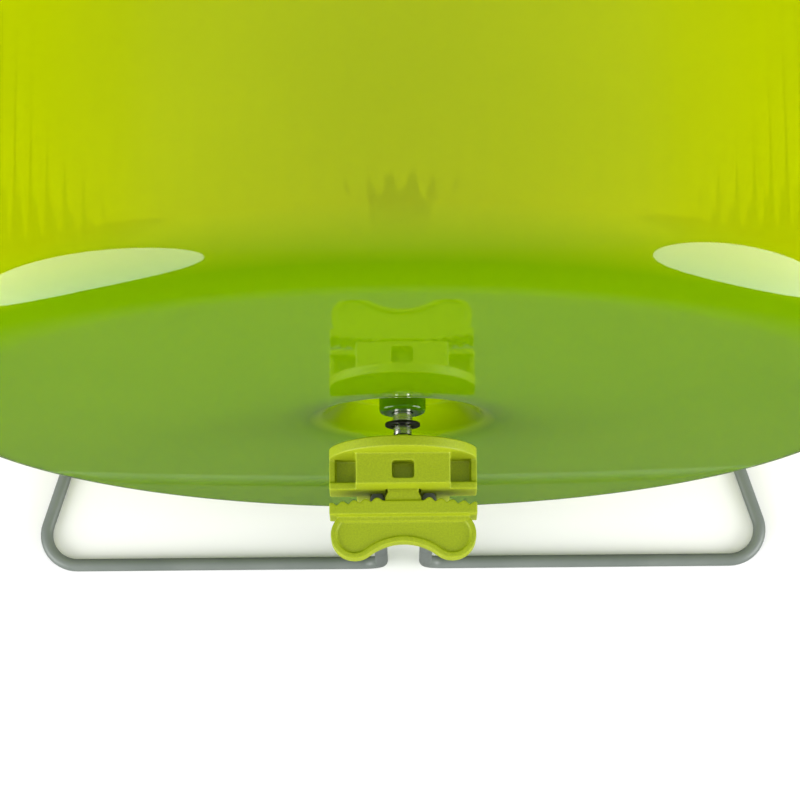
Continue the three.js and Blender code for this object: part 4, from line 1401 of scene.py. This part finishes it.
def bent_path(corners, bends):
    """Places and directions along corners that are rounded to bend radii."""
    path = []
    start = corners[0]
    for i in range(1, len(corners) - 1):
        before = (corners[i] - corners[i - 1]).normalized()
        after = (corners[i + 1] - corners[i]).normalized()
        turn = before.angle(after)
        axis = before.cross(after).normalized()
        entry = corners[i] - before * bends[i] * math.tan(turn / 2)
        path += straight_run(start, entry)
        outward = before.cross(axis) * bends[i]
        centre = entry - outward
        for k in range(1, WIRE_BEND_STEPS):
            rotation = Matrix.Rotation(turn * k / WIRE_BEND_STEPS, 3, axis)
            path.append((centre + rotation @ outward, rotation @ before))
        start = centre + Matrix.Rotation(turn, 3, axis) @ outward
    return [*path, *straight_run(start, corners[-1])]


def wire_end(at, outward):
    """Places and radii over a wire's rounded end, from its side inwards to its flat."""
    rounds = []
    for j in range(WIRE_END_STEPS + 1):
        angle = math.pi / 2 * j / WIRE_END_STEPS
        radius = WIRE_RADIUS - WIRE_END_EDGE + WIRE_END_EDGE * math.cos(angle)
        rounds.append((at + outward * WIRE_END_EDGE * (math.sin(angle) - 1), radius))
    return rounds


def wire_rings(path):
    """Rings of points round a path, carried round its bends without twist."""
    normal = path[0][1].orthogonal().normalized()
    rings = []
    for k, (at, direction) in enumerate(path):
        normal = (normal - direction * normal.dot(direction)).normalized()
        across = direction.cross(normal)
        rounds = [(at, WIRE_RADIUS)]
        if k == 0:
            rounds = wire_end(at, -direction)[::-1]
        if k == len(path) - 1:
            rounds = wire_end(at, direction)
        for middle, radius in rounds:
            for j in range(WIRE_SIDES):
                angle = 2 * math.pi * j / WIRE_SIDES
                offset = normal * math.cos(angle) + across * math.sin(angle)
                rings.append(middle + offset * radius)
    return rings


def swept_wire(name, path):
    """A round wire along a path."""
    points = wire_rings(path)
    last = len(points) - WIRE_SIDES
    faces = []
    for start in range(0, last, WIRE_SIDES):
        for j in range(WIRE_SIDES):
            one = start + j
            two = start + (j + 1) % WIRE_SIDES
            faces.append((one, two, two + WIRE_SIDES, one + WIRE_SIDES))
    faces += [range(WIRE_SIDES), range(last, len(points))]
    return mesh_from(name, points, faces, WIRE_CRISP_DEG)


def stand_wire():
    """The stand: two uprights from the clamp, and a loop on the floor under the wheel."""
    corners = [*stand_corners(-1), *stand_corners(1)[::-1]]
    bends = [0, UPRIGHT_BEND, *[BASE_BEND] * 4, UPRIGHT_BEND, 0]
    mesh = swept_wire("bent_wire_stand", bent_path(corners, bends))
    add_piece(mesh, "stand", ["stand_wire"], "coated_wire")


axle_stack()
bearing("rear", REAR_BEARING)
bearing("front", FRONT_BEARING)
clamp_body()
clamp_slider()
stand_wire()


# ---- camera, floor and light

def camera():
    """Looks down along the wheel's back, from a little behind it."""
    tilt = math.radians(VIEW_TILT_DEG)
    toward = Vector((0, -math.sin(tilt), math.cos(tilt)))
    roll = Matrix.Rotation(math.radians(-VIEW_ROLL_DEG), 3, toward)
    right = roll @ Vector((1, 0, 0))
    up = roll @ Vector((0, math.cos(tilt), math.sin(tilt)))
    position = ORIGIN + (toward * VIEW_DISTANCE + right * VIEW_RIGHT + up * VIEW_UP) * MM
    turned_to = Matrix((right, up, toward)).transposed().to_4x4()
    data = bpy.data.cameras.new("camera")
    data.lens = LENS_MM
    data.sensor_width = SENSOR_MM
    data.clip_start = VIEW_NEAREST * MM
    obj = linked("camera", data)
    obj.matrix_world = Matrix.Translation(position) @ turned_to
    bpy.context.scene.camera = obj


def grey_stops(levels):
    """Stops for ramp(), from pairs of (level, grey)."""
    return [(level, (grey, grey, grey)) for level, grey in levels]


def floor():
    """A plain pale floor. Gloss doesn't show it, as if the object stood on dull paper."""
    mesh = bpy.data.meshes.new("floor")
    half = FLOOR_HALF
    corners = [(-half, -half, 0), (half, -half, 0), (half, half, 0), (-half, half, 0)]
    mesh.from_pydata(corners, [], [(0, 1, 2, 3)])
    obj = linked("floor", mesh)
    material, tree, shader = new_material("floor")
    cloud = noise(tree, *FLOOR_CLOUD)
    tone = ramp(tree, cloud, grey_stops(zip(TONE_LEVELS, FLOOR_TONES)))
    tree.links.new(tone, shader.inputs["Base Color"])
    shader.inputs["Roughness"].default_value = FLOOR_ROUGHNESS
    mesh.materials.append(material)
    obj.visible_glossy = False


def softbox(name, shape, turn_deg, height, size, watts, spin_deg):
    """A soft light that stands round the wheel and faces it, its frame spun in its plane."""
    turn = math.radians(turn_deg)
    outward = Vector((math.sin(turn), -math.cos(turn), 0))
    data = bpy.data.lights.new(name, "AREA")
    data.shape = shape
    data.size = size[0]
    data.size_y = size[1]
    data.energy = watts
    obj = linked(name, data)
    facing = (-outward).to_track_quat("-Z", "Y").to_matrix().to_4x4()
    spin = Matrix.Rotation(math.radians(spin_deg), 4, "Z")
    spot = ORIGIN + outward * SOFTBOX_DISTANCE + Vector((0, 0, height))
    obj.matrix_world = Matrix.Translation(spot) @ facing @ spin
    obj.visible_camera = False


def dim_room(tree):
    """The room that gloss sees, by height: lighter overhead and underfoot."""
    z = along(tree, "Generated", "Z")
    height = ranged(tree, z, 0.0, 1.0, -1.0)
    return ramp(tree, height, grey_stops(ROOM_TONES))


def world():
    """Even soft light for everything but gloss, which sees the dim room."""
    scene_world = bpy.data.worlds.new("studio")
    bpy.context.scene.world = scene_world
    scene_world.use_nodes = True
    tree = scene_world.node_tree
    path = tree.nodes.new("ShaderNodeLightPath")
    choose = tree.nodes.new("ShaderNodeMix")
    choose.data_type = "RGBA"
    choose.inputs[MIX_FIRST].default_value = (AMBIENT, AMBIENT, AMBIENT, 1.0)
    tree.links.new(path.outputs["Is Glossy Ray"], choose.inputs[0])
    tree.links.new(dim_room(tree), choose.inputs[MIX_SECOND])
    tree.links.new(choose.outputs[MIX_RESULT], tree.nodes["Background"].inputs["Color"])


camera()
floor()
world()
for softbox_name, settings in SOFTBOXES.items():
    softbox(softbox_name, *settings)
bpy.context.scene.view_settings.view_transform = "Standard"
